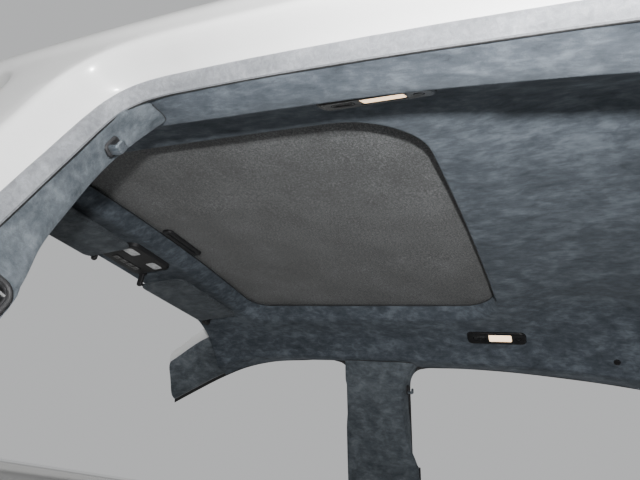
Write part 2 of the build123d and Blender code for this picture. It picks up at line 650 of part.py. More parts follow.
for name, parts in (("reading_lamp_bezel", [bezel]), ("reading_lamp_lens", [lens]), ("reading_lamp_switch", [dot, pill])):
    left = [place * q for q in parts]
    keep(name + "_left", *left)
    keep(name + "_right", *[mirror(q, about=Plane.YZ) for q in left])

# small round studs at the rear of the lining
stud_x, stud_y = 600.0, 294.0
stud_n = Rot(0, 41, 0)
stud = Pos(stud_x, stud_y, lining_z(stud_x, stud_y)) * stud_n * (Pos(0, 0, -1.4) * Cylinder(9.0, 3.4) + Pos(0, 0, 4) * Cylinder(3.0, 10))
keep("lining_studs", stud, mirror(stud, about=Plane.YZ))

# ------------------------------------------------------- overhead console
CON_Y0, CON_Y1, CON_HX = -984.0, -856.0, 82.0
con_z = lining_z(0, (CON_Y0 + CON_Y1) / 2)
tilt = math.degrees(math.atan2(lining_z(0, CON_Y1) - lining_z(0, CON_Y0), CON_Y1 - CON_Y0))
con_place = Pos(0, (CON_Y0 + CON_Y1) / 2, con_z) * Rot(tilt, 0, 0)
con = Pos(0, 0, -13) * extrude(RectangleRounded(2 * CON_HX, CON_Y1 - CON_Y0, 22), 13.5)
con = fillet(con.faces().sort_by(Axis.Z)[0].edges(), 6)
con = con + Pos(0, 0, -1) * extrude(RectangleRounded(2 * CON_HX - 16, CON_Y1 - CON_Y0 - 16, 14), 12)
for sx in (-1, 1):
    con = con - Pos(sx * 48, 26, -14) * extrude(RectangleRounded(44, 32, 8), 8)
con = con - Pos(0, -30, -14) * extrude(RectangleRounded(104, 22, 5), 5)
con_body = con_place * con
keep("overhead_console", con_body)
keep("console_lenses", *[con_place * (Pos(sx * 48, 26, -12.0) * extrude(RectangleRounded(43.2, 31.2, 7.6), 5.8)) for sx in (-1, 1)])
keep("console_buttons", *[con_place * (Pos(x, -30, -14.6) * extrude(RectangleRounded(23.6, 20.6, 3), 5.4)) for x in (-38.5, -12.9, 12.9, 38.5)])

# -------------------------------------------------------------- sun visors
vis = Pos((VISOR_X0 + VISOR_X1) / 2, 0, 0) * extrude(
    Pos(0, VISOR_DEPTH / 2 - 12, 0) * RectangleRounded(VISOR_X1 - VISOR_X0, VISOR_DEPTH, 26), VISOR_T / 2, both=True)
vis = fillet(vis.edges().filter_by(Axis.Z, reverse=True).group_by(Axis.Z)[0], 5)
vis = fillet(vis.edges().group_by(Axis.Z)[-1], 5)
vis = Rot(VISOR_TILT, 0, 0) * vis
vis = vis - Pos((VISOR_X0 + VISOR_X1) / 2, 0, 0) * Rot(0, 90, 0) * Cylinder(ROD_R + VISOR_FIT, 700)
visor = Pos(0, VISOR_Y, VISOR_Z) * vis
keep("sun_visor_left", visor)
keep("sun_visor_right", mirror(visor, about=Plane.YZ))

ROD_X0, ROD_X1 = VISOR_X0 - 16.0, VISOR_X1 + 34.0
rod = Pos((ROD_X0 + ROD_X1) / 2, VISOR_Y, VISOR_Z) * Rot(0, 90, 0) * Cylinder(ROD_R, ROD_X1 - ROD_X0)


def visor_mount(xa, xb, half, foot):
    """Block that hangs from the lining and holds the rod's end."""
    xm = (xa + xb) / 2
    top = lining_z(xm, VISOR_Y) + 2.0
    blk = box(xa, xb, VISOR_Y - half, VISOR_Y + half, VISOR_Z - 9, top)
    blk = fillet(blk.edges().filter_by(Axis.X).group_by(Axis.Z)[0], half - 1.0)
    return blk + box(xa - foot, xb + foot, VISOR_Y - half - 5, VISOR_Y + half + 5, top - 6, top)


hanger = rod + visor_mount(VISOR_X1 + 9, VISOR_X1 + 34, 10, 3) + visor_mount(VISOR_X0 - 16, VISOR_X0 - 5.5, 9, 2)
keep("visor_rod_left", hanger)
keep("visor_rod_right", mirror(hanger, about=Plane.YZ))

# ------------------------------------------------------------ ditch strips
d_secs = []
for y, xd, zd, k in SIDE[1:11]:
    d_secs.append([(xd - 7, y, zd + 1.3), (xd - 7, y, zd + 2.6), (xd - 3, y, zd + 4.0), (xd + 4, y, zd + 4.0),
                   (xd + 9, y, zd + 1.6), (xd + 9, y, zd - 0.6), (xd, y, zd + 0.3)])
ditch = ruled(d_secs)
a, b = both(ditch)
keep("ditch_mouldings", a, b)

# ----------------------------------------------------------------- antenna
fin_rows = [(958.0, 4.0, 4.0), (1000.0, 16.0, 18.0), (1030.0, 19.0, 34.0), (1062.0, 17.0, 48.0), (1074.0, 12.0, 50.0), (1082.0, 9.0, 44.0)]
f_secs = []
for y, hw, h in fin_rows:
    z0 = roof_z(0, y) + 0.05
    f_secs.append([(-hw, y, z0), (-hw * 0.9, y, z0 + h * 0.28), (-hw * 0.28, y, z0 + h * 0.9), (0, y, z0 + h),
                   (hw * 0.28, y, z0 + h * 0.9), (hw * 0.9, y, z0 + h * 0.28), (hw, y, z0)])
keep("roof_antenna", ruled(f_secs))

# the lining is cut to clear everything that passes through it or closes its edges
for other in (bezel_l, stud, con_body, hanger, front_seal, rear_seal, side_s):
    lining = lining - other
    if other is not con_body:
        lining = lining - mirror(other, about=Plane.YZ)
keep("roof_lining", main(lining - front_header))

print("done")
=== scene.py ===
"""SUV roof section: finishes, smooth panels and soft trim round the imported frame.  Lengths in mm unless a line says metres."""
import bpy
import bmesh
import json
import math
import random
from bisect import bisect_right
from mathutils import Vector, Matrix, noise
from mathutils.geometry import delaunay_2d_cdt
import numpy as np
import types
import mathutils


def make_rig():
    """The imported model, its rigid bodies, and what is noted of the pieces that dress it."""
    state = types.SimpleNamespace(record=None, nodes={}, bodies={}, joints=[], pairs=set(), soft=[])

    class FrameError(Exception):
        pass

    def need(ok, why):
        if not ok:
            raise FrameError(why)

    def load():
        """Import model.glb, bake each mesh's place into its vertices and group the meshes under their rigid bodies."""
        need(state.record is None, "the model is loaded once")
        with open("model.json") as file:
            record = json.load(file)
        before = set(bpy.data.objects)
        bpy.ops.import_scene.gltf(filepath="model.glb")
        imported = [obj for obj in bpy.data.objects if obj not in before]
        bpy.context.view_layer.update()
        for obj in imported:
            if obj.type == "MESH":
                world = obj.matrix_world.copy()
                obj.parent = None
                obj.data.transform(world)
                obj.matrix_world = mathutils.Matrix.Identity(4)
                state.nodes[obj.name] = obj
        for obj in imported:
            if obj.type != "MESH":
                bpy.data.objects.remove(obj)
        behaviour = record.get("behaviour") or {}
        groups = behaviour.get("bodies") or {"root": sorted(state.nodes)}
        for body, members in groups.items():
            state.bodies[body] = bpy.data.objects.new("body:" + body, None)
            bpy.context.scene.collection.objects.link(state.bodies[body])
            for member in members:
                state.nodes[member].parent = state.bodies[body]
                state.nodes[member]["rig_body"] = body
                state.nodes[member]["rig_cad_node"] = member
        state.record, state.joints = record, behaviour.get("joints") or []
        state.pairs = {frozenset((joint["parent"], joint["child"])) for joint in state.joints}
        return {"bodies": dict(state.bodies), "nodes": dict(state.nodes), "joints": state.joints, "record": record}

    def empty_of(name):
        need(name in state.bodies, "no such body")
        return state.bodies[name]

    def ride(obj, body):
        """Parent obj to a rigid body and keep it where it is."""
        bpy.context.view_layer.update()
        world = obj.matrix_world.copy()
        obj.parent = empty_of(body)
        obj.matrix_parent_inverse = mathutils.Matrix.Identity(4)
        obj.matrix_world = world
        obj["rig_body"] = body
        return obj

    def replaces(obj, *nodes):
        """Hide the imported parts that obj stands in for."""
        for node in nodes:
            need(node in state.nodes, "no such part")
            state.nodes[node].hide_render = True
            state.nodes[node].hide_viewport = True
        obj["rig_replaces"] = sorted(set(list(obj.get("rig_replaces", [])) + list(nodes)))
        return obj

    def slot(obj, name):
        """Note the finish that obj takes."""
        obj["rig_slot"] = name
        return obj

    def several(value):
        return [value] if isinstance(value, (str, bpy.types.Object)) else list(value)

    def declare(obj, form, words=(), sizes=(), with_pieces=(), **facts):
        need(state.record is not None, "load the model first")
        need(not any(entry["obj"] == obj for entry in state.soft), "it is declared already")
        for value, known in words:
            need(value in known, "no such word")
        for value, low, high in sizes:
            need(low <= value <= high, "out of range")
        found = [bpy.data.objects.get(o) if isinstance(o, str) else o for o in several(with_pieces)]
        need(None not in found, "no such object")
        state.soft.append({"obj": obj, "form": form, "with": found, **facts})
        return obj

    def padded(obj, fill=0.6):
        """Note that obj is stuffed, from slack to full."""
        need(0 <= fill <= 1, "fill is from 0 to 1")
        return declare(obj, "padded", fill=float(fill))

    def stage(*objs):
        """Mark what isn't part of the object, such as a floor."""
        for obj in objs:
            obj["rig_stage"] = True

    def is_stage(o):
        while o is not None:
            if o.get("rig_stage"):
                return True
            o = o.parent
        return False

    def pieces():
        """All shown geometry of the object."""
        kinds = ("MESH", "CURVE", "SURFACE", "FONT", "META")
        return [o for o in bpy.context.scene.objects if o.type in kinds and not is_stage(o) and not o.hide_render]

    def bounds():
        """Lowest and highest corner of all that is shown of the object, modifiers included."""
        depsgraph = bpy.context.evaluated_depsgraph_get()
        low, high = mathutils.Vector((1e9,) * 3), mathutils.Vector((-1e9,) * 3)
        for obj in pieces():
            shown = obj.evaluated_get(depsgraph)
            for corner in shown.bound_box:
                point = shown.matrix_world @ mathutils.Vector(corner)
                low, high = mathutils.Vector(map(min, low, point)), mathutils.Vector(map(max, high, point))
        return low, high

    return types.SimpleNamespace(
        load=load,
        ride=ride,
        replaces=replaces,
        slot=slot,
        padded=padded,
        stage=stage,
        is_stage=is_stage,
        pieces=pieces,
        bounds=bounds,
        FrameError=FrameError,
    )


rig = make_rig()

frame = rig.load()
cad_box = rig.bounds()
random.seed(7)
NODES = frame["nodes"]
SCENE = bpy.context.scene
MM = 0.001

# ------------------------------------------------------------------ camera
cam_data = bpy.data.cameras.new("camera")
cam_data.sensor_width = 36.0
cam_data.lens = 590.0 / 640.0 * 36.0
cam_data.clip_start, cam_data.clip_end = 0.01, 60.0
cam = bpy.data.objects.new("camera", cam_data)
SCENE.collection.objects.link(cam)
right = Vector((-0.39248, 0.90875, 0.14190))
up = Vector((0.43104, 0.04544, 0.90119))
back = Vector((0.81250, 0.41486, -0.40954))
m = Matrix.Identity(4)
for i in range(3):
    m[i][0], m[i][1], m[i][2] = right[i], up[i], back[i]
m.translation = Vector((1.166, 0.240, 0.030))
cam.matrix_world = m
SCENE.camera = cam

# --------------------------------------------------------------- lighting
world = bpy.data.worlds.new("studio")
SCENE.world = world
world.use_nodes = True
bg = world.node_tree.nodes["Background"]
bg.inputs[0].default_value = (0.84, 0.85, 0.86, 1)
bg.inputs[1].default_value = 0.07
# the room behind the piece is plain and pale where it is looked at straight
pale = world.node_tree.nodes.new("ShaderNodeBackground")
pale.inputs[0].default_value = (0.84, 0.85, 0.86, 1)
pale.inputs[1].default_value = 0.66
ray_kind = world.node_tree.nodes.new("ShaderNodeLightPath")
blend = world.node_tree.nodes.new("ShaderNodeMixShader")
world.node_tree.links.new(ray_kind.outputs["Is Camera Ray"], blend.inputs[0])
world.node_tree.links.new(bg.outputs[0], blend.inputs[1])
world.node_tree.links.new(pale.outputs[0], blend.inputs[2])
world.node_tree.links.new(blend.outputs[0], world.node_tree.nodes["World Output"].inputs[0])


def area(name, at, to, size, power, size_y=None, colour=(1, 1, 1), beam=180.0):
    d = bpy.data.lights.new(name, "AREA")
    d.spread = math.radians(beam)
    d.shape = "RECTANGLE" if size_y else "SQUARE"
    d.size = size
    if size_y:
        d.size_y = size_y
    d.energy = power
    d.color = colour
    o = bpy.data.objects.new(name, d)
    SCENE.collection.objects.link(o)
    o.location = Vector(at)
    o.rotation_mode = "QUATERNION"
    o.rotation_quaternion = (Vector(at) - Vector(to)).to_track_quat("Z", "Y")
    return o


# key beside the camera, as in the photograph, then soft light over and round the piece (metres)
key_at = m.translation + up * 0.138 + right * 0.06 + back * 0.06
area("key", key_at, (0.30, 0.10, 0.72), 0.036, 11.4, beam=120.0)
area("top", (0.4, 0.7, 3.6), (0, 0, 0.4), 3.2, 95.0)
area("front", (-2.4, -3.4, 2.6), (0, 0, 0.5), 2.2, 34.0)
area("rear", (2.8, 3.2, 2.4), (0, 0.2, 0.5), 2.2, 44.0)
area("side", (3.1, 0.0, 1.8), (0.7, 0.0, 0.5), 1.8, 36.0)


# ------------------------------------------------------------- smooth curves
class Curve:
    """Smooth curve through (t, v) pairs; straight beyond its ends."""

    def __init__(self, ts, vs, d0=None, d1=None):
        self.t, self.v = list(ts), list(vs)
        n = len(self.t)
        self.d = []
        for i in range(n):
            if i == 0:
                d = (self.v[1] - self.v[0]) / (self.t[1] - self.t[0]) if d0 is None else d0
            elif i == n - 1:
                d = (self.v[-1] - self.v[-2]) / (self.t[-1] - self.t[-2]) if d1 is None else d1
            else:
                h0, h1 = self.t[i] - self.t[i - 1], self.t[i + 1] - self.t[i]
                d = ((self.v[i] - self.v[i - 1]) / h0 * h1 + (self.v[i + 1] - self.v[i]) / h1 * h0) / (h0 + h1)
            self.d.append(d)

    def __call__(self, t):
        if t <= self.t[0]:
            return self.v[0] + self.d[0] * (t - self.t[0])
        if t >= self.t[-1]:
            return self.v[-1] + self.d[-1] * (t - self.t[-1])
        i = bisect_right(self.t, t) - 1
        h = self.t[i + 1] - self.t[i]
        u = (t - self.t[i]) / h
        u2, u3 = u * u, u * u * u
        return ((2 * u3 - 3 * u2 + 1) * self.v[i] + (u3 - 2 * u2 + u) * h * self.d[i]
                + (3 * u2 - 2 * u3) * self.v[i + 1] + (u3 - u2) * h * self.d[i + 1])


class Path2:
    """Smooth plane path through points, by chord length."""

    def __init__(self, pts):
        self.ts = [0.0]
        for a, b in zip(pts, pts[1:]):
            self.ts.append(self.ts[-1] + max(1e-6, math.hypot(b[0] - a[0], b[1] - a[1])))
        self.a = Curve(self.ts, [p[0] for p in pts])
        self.b = Curve(self.ts, [p[1] for p in pts])
        self.length = self.ts[-1]

    def __call__(self, t):
        return self.a(t), self.b(t)

    def normal(self, t):
        """Left-hand normal."""
        (x0, y0), (x1, y1) = self(t - 0.5), self(t + 0.5)
        d = math.hypot(x1 - x0, y1 - y0) or 1e-9
        return -(y1 - y0) / d, (x1 - x0) / d


def spread(t0, t1, step):
    n = max(1, int(math.ceil((t1 - t0) / step)))
    return [t0 + (t1 - t0) * i / n for i in range(n + 1)]


def inside(poly, pts):
    """Which points (n, 2) lie inside a polygon."""
    poly = np.asarray(poly, float)
    x, y = pts[:, 0][:, None], pts[:, 1][:, None]
    x0, y0 = poly[:, 0][None], poly[:, 1][None]
    x1, y1 = np.roll(poly[:, 0], -1)[None], np.roll(poly[:, 1], -1)[None]
    cross = (y0 > y) != (y1 > y)
    dy = np.where(np.abs(y1 - y0) < 1e-12, 1e-12, y1 - y0)
    xi = x0 + (y - y0) / dy * (x1 - x0)
    return (np.sum(cross & (x < xi), axis=1) % 2) == 1


def near_loop(poly, pts, dist):
    """Which points lie nearer than dist to a polygon's edge."""
    poly = np.asarray(poly, float)
    a, b = poly, np.roll(poly, -1, axis=0)
    best = np.full(len(pts), 1e9)
    for p, q in zip(a, b):
        d = q - p
        t = np.clip(((pts - p) @ d) / max(1e-9, d @ d), 0, 1)
        best = np.minimum(best, np.linalg.norm(pts - (p + t[:, None] * d), axis=1))
    return best < dist


# ------------------------------------------------------------- mesh builder
class Build:
    def __init__(self):
        self.v, self.f, self.m = [], [], []

    def pts(self, ps):
        base = len(self.v)
        self.v += [tuple(p) for p in ps]
        return list(range(base, base + len(ps)))

    def bridge(self, a, b, closed=False, mat=0, flip=False):
        n = len(a)
        for i in range(n if closed else n - 1):
            j = (i + 1) % n
            q = (a[i], a[j], b[j], b[i])
            if len(set(q)) < 3:
                continue
            self.f.append(tuple(reversed(q)) if flip else q)
            self.m.append(mat)

    def loft(self, rows, closed=False, caps=False, mat=0, flip=False):
        ids = [self.pts(r) for r in rows]
        for a, b in zip(ids, ids[1:]):
            self.bridge(a, b, closed, mat, flip)
        if caps:
            for ring in (ids[0], ids[-1]):
                self.fan(ring, mat)
        return ids

    def fan(self, ring, mat=0):
        c = sum((Vector(self.v[i]) for i in ring), Vector()) / len(ring)
        k = self.pts([c])[0]
        n = len(ring)
        for i in range(n):
            self.f.append((ring[i], ring[(i + 1) % n], k))
            self.m.append(mat)

    def flat(self, outer, holes, interior, place, mat=0, flip=False):
        """Plane region between loops, carried into space by place(u, v).  Returns the ids of each loop's points."""
        vs, es, spans = [], [], []
        for loop in [outer] + list(holes):
            base, n = len(vs), len(loop)
            vs += [Vector((p[0], p[1])) for p in loop]
            es += [(base + i, base + (i + 1) % n) for i in range(n)]
            spans.append((base, n))
        vs += [Vector((p[0], p[1])) for p in interior]
        out = delaunay_2d_cdt(vs, es, [], 0, 1e-6)
        co, tris, orig = out[0], out[2], out[3]
        cen = np.array([[sum(co[i][k] for i in t) / len(t) for k in (0, 1)] for t in tris])
        ok = inside([tuple(p) for p in outer], cen)
        for h in holes:
            ok &= ~inside([tuple(p) for p in h], cen)
        ids = self.pts([place(c[0], c[1]) for c in co])
        for t, good in zip(tris, ok):
            if good:
                q = tuple(ids[i] for i in t)
                self.f.append(tuple(reversed(q)) if flip else q)
                self.m.append(mat)
        where = {}
        for k, src in enumerate(orig):
            for s in src:
                where[s] = ids[k]
        return [[where[base + i] for i in range(n)] for base, n in spans]

    def shell(self, t):
        """Give an open surface a thickness: its faces' normals point to the seen side."""
        bm = self.bm()
        bm.normal_update()
        nv = len(bm.verts)
        bm.verts.ensure_lookup_table()
        back = [bm.verts.new(v.co - v.normal * t * MM) for v in bm.verts[:nv]]
        faces = list(bm.faces)
        edges = [(e.verts[0].index, e.verts[1].index, e) for e in bm.edges if e.is_boundary]
        for f in faces:
            try:
                g = bm.faces.new([back[v.index] for v in reversed(f.verts)])
                g.material_index = f.material_index
                g.smooth = True
            except ValueError:
                pass
        for a, b, e in edges:
            f = e.link_faces[0]
            vs = list(f.verts)
            ia = [v.index for v in vs]
            k = ia.index(a)
            if ia[(k + 1) % len(ia)] != b:
                a, b = b, a
            bm.verts.ensure_lookup_table()
            try:
                g = bm.faces.new([bm.verts[b], bm.verts[a], back[a], back[b]])
                g.material_index = f.material_index
                g.smooth = True
            except ValueError:
                pass
        return bm

    def bm(self):
        me = bpy.data.meshes.new("tmp")
        me.from_pydata([tuple(c * MM for c in v) for v in self.v], [], self.f)
        me.polygons.foreach_set("material_index", self.m)
        bm = bmesh.new()
        bm.from_mesh(me)
        bpy.data.meshes.remove(me)
        bm.verts.index_update()
        bmesh.ops.delete(bm, geom=[v for v in bm.verts if not v.link_faces], context="VERTS")
        bm.verts.index_update()
        bm.verts.ensure_lookup_table()
        return bm


def weld(bm, dist=0.02):
    bmesh.ops.remove_doubles(bm, verts=bm.verts, dist=dist * MM)


def cut(bm, point, normal):
    """Remove what lies beyond a plane (mm)."""
    bmesh.ops.bisect_plane(bm, geom=list(bm.verts) + list(bm.edges) + list(bm.faces), dist=1e-7,
                           plane_co=Vector(point) * MM, plane_no=Vector(normal), clear_outer=True)


def mirrored(bm):
    c = bm.copy()
    for v in c.verts:
        v.co.x = -v.co.x
    bmesh.ops.reverse_faces(c, faces=c.faces)
    return c


def merged(*bms):
    me = bpy.data.meshes.new("tmp")
    out = bmesh.new()
    for b in bms:
        b.to_mesh(me)
        out.from_mesh(me)
    bpy.data.meshes.remove(me)
    return out


def piece(name, bm, mats, body, slot, replaces=(), angle=38, recalc=True):
    """One object from a bmesh in metres, riding on a body."""
    if recalc:
        bmesh.ops.recalc_face_normals(bm, faces=bm.faces)
    me = bpy.data.meshes.new(name)
    for f in bm.faces:
        f.smooth = True
    bm.to_mesh(me)
    bm.free()
    for k in mats:
        me.materials.append(M[k])
    me.set_sharp_from_angle(angle=math.radians(angle))
    o = bpy.data.objects.new(name, me)
    SCENE.collection.objects.link(o)
    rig.ride(o, body)
    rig.slot(o, slot)
    if replaces:
        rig.replaces(o, *replaces)
    return o


def pair(name, bm, mats, body, slot, node=None, angle=38):
    """The same piece on the left and, mirrored, on the right: bodies with a side in their name get the side's own."""
    out = []
    for side, b in (("left", bm), ("right", mirrored(bm))):
        n = f"{node}_{side}" if node else None
        out.append(piece(f"{name}_{side}", b, mats, body if isinstance(body, str) else body[side], slot, (n,) if n else (), angle))
    return out


# --------------------------------------------------------------- dimensions
TUMBLE, FLANGE_X0, FLANGE_Z0 = 0.44, 705.0, 494.0
OUTER_TUMBLE, OUTER_X0, OUTER_Z0 = 0.374, 750.0, 548.0
B_FRONT, B_REAR = -506.0, -338.0
OPEN_LIP = (484.5, -832.0, 7.0, 85.0, 130.0)        # half width, front, rear, corner radius in front and behind
OPEN_TOP = (453.0, -792.0, 5.0, 65.0, 110.0)
CROWN_X = 436.0
GLASS_HX, GLASS_Y0, GLASS_Y1, GLASS_R = 486.0, -866.0, 52.0, 70.0
SHADE_Z, SHADE_HX, SHADE_Y0, SHADE_Y1, SHADE_CROWN = 618.0, 466.0, -816.0, 16.0, 16.0
LAMP, LAMP_SLOPE = Vector((560.0, -20.0, 551.5)), 27.0
ROOF_CROWN = 45.0
EPS = 1e-9

LINING = [
    (-1012.0, 580.0, 566.0, 556.0, 516.0, 640.0, 440.0, 442.0),
    (-900.0, 597.0, 582.0, 566.0, 530.0, 640.0, 474.0, 478.0),
    (-800.0, 600.0, 576.0, 571.0, 539.0, 640.0, 486.0, 491.0),
    (-560.0, 605.0, 581.0, 575.0, 546.0, 640.0, 491.0, 498.0),
    (-200.0, 607.0, 583.0, 576.0, 547.0, 640.0, 490.0, 498.0),
    (60.0, 607.0, 584.0, 574.0, 543.0, 640.0, 484.0, 491.0),
    (180.0, 615.0, 598.0, 572.3, 537.0, 639.0, 476.0, 485.0),
    (294.0, 616.0, 600.0, 570.0, 529.0, 638.0, 466.0, 477.0),
    (600.0, 588.0, 570.0, 560.0, 498.0, 640.0, 424.0, 438.0),
    (880.0, 548.0, 528.0, 542.0, 458.0, 622.0, 386.0, 398.0),
    (1132.0, 504.0, 486.0, 520.0, 418.0, 598.0, 350.0, 362.0),
]
ROOF = [
    (-1040.0, 640.0, 600.0), (-900.0, 664.0, 608.0), (-700.0, 684.0, 612.0), (-400.0, 699.0, 612.0), (-100.0, 704.0, 612.0),
    (200.0, 700.0, 612.0), (500.0, 684.0, 608.0), (800.0, 656.0, 598.0), (1000.0, 626.0, 586.0), (1150.0, 594.0, 574.0),
]
SIDE = [
    (-1240.0, 640.0, 487.0, 0.62), (-1040.0, 601.0, 595.0, 0.80), (-900.0, 609.0, 619.0, 0.92), (-700.0, 613.0, 639.0, 1.0),
    (-400.0, 613.0, 654.0, 1.0), (-100.0, 613.0, 659.0, 1.0), (200.0, 613.0, 655.0, 1.0), (500.0, 609.0, 639.0, 1.0),
    (800.0, 599.0, 611.0, 1.0), (1000.0, 587.0, 581.0, 0.95), (1150.0, 575.0, 549.0, 0.90), (1240.0, 566.0, 524.0, 0.85),
]
REAR_FLANGE = [
    (B_REAR, -30), (B_REAR, 200), (B_REAR, 400), (B_REAR, 430), (-333, 462), (-318, 487), (-297, 502), (-266, 510), (-209, 513), (-36, 512),
    (147, 501), (300, 487), (450, 466), (555, 440), (612, 400), (634, 348), (632, 275), (602, -30)]
REAR_JAMB = [(-30, 0), (-30, 3), (-30, 6), (-30, 8), (-28, 14), (-22, 22), (-10, 27), (0, 28), (0, 28), (0, 28),
             (0, 28), (3, 28), (8, 28), (18, 26), (30, 20), (38, 8), (40, 0), (36, 0)]
FRONT_FLANGE = [
    (B_FRONT, -30), (B_FRONT, 200), (B_FRONT, 400), (B_FRONT, 430), (-509, 470), (-519, 498), (-541, 514), (-569, 521), (-700, 518), (-830, 506),
    (-930, 483), (-1040, 441), (-1150, 389), (-1262, 333), (-1300, 313)]
FRONT_JAMB = [(30, 0), (30, 3), (30, 6), (30, 8), (28, 14), (22, 22), (10, 27), (0, 28), (-2, 28), (-6, 28),
              (-8, 28), (-10, 28), (-12, 28), (-14, 28), (-14, 28)]
QW = [(742.0, 66.0, 34.0), (1128.0, 66.0, 46.0), (1092.0, 344.0, 62.0), (796.0, 384.0, 46.0)]
B_TRIM = [
    (0.0, -306.0, -268.0, 66.0), (120.0, -308.0, -268.0, 66.0), (200.0, -312.0, -289.0, 66.0), (250.0, -315.0, -311.0, 65.0),
    (310.0, -317.0, -320.0, 64.0), (420.0, -318.0, -321.0, 63.0), (455.0, -308.0, -308.0, 62.0), (487.0, -289.0, -288.0, 60.0),
]
C_TRIM = [(586.0, 13.0), (594.0, 32.0), (630.0, 46.0), (680.0, 48.0), (880.0, 48.0), (1100.0, 48.0), (1180.0, 42.0), (1226.0, 30.0)]


def plan_in(y):
    return 45.0 * (max(0.0, abs(y) - 400.0) / 840.0) ** 2


def flange_x(y, z):
    return FLANGE_X0 + TUMBLE * (FLANGE_Z0 - z) - plan_in(y)


def outer_x(y, z):
    return OUTER_X0 + OUTER_TUMBLE * (OUTER_Z0 - z) - plan_in(y)


RIDGE = Curve([r[0] for r in ROOF], [r[1] for r in ROOF])
DITCH = Curve([r[0] for r in ROOF], [r[2] for r in ROOF])


def roof_z(x, y):
    return RIDGE(y) - ROOF_CROWN * (x / DITCH(y)) ** 2


def rounded_rect(hx, y0, y1, r, step=10.0, arc=10):
    """Closed outline, from the rear side's middle, turning to the left (+x) side, front, right side."""
    pts = []
    corners = [(hx - r, y1 - r, 90, 0), (hx - r, y0 + r, 0, -90), (-hx + r, y0 + r, -90, -180), (-hx + r, y1 - r, 180, 90)]
    for cx, cy, a0, a1 in corners:
        ring = [(cx + r * math.cos(math.radians(a0 + (a1 - a0) * k / arc)), cy + r * math.sin(math.radians(a0 + (a1 - a0) * k / arc)))
                for k in range(arc + 1)]
        if pts:
            a, b = pts[-1], ring[0]
            n = max(1, int(math.hypot(b[0] - a[0], b[1] - a[1]) / step))
            pts += [(a[0] + (b[0] - a[0]) * i / n, a[1] + (b[1] - a[1]) * i / n) for i in range(1, n)]
        pts += ring
    a, b = pts[-1], pts[0]
    n = max(1, int(math.hypot(b[0] - a[0], b[1] - a[1]) / step))
    pts += [(a[0] + (b[0] - a[0]) * i / n, a[1] + (b[1] - a[1]) * i / n) for i in range(1, n)]
    return pts


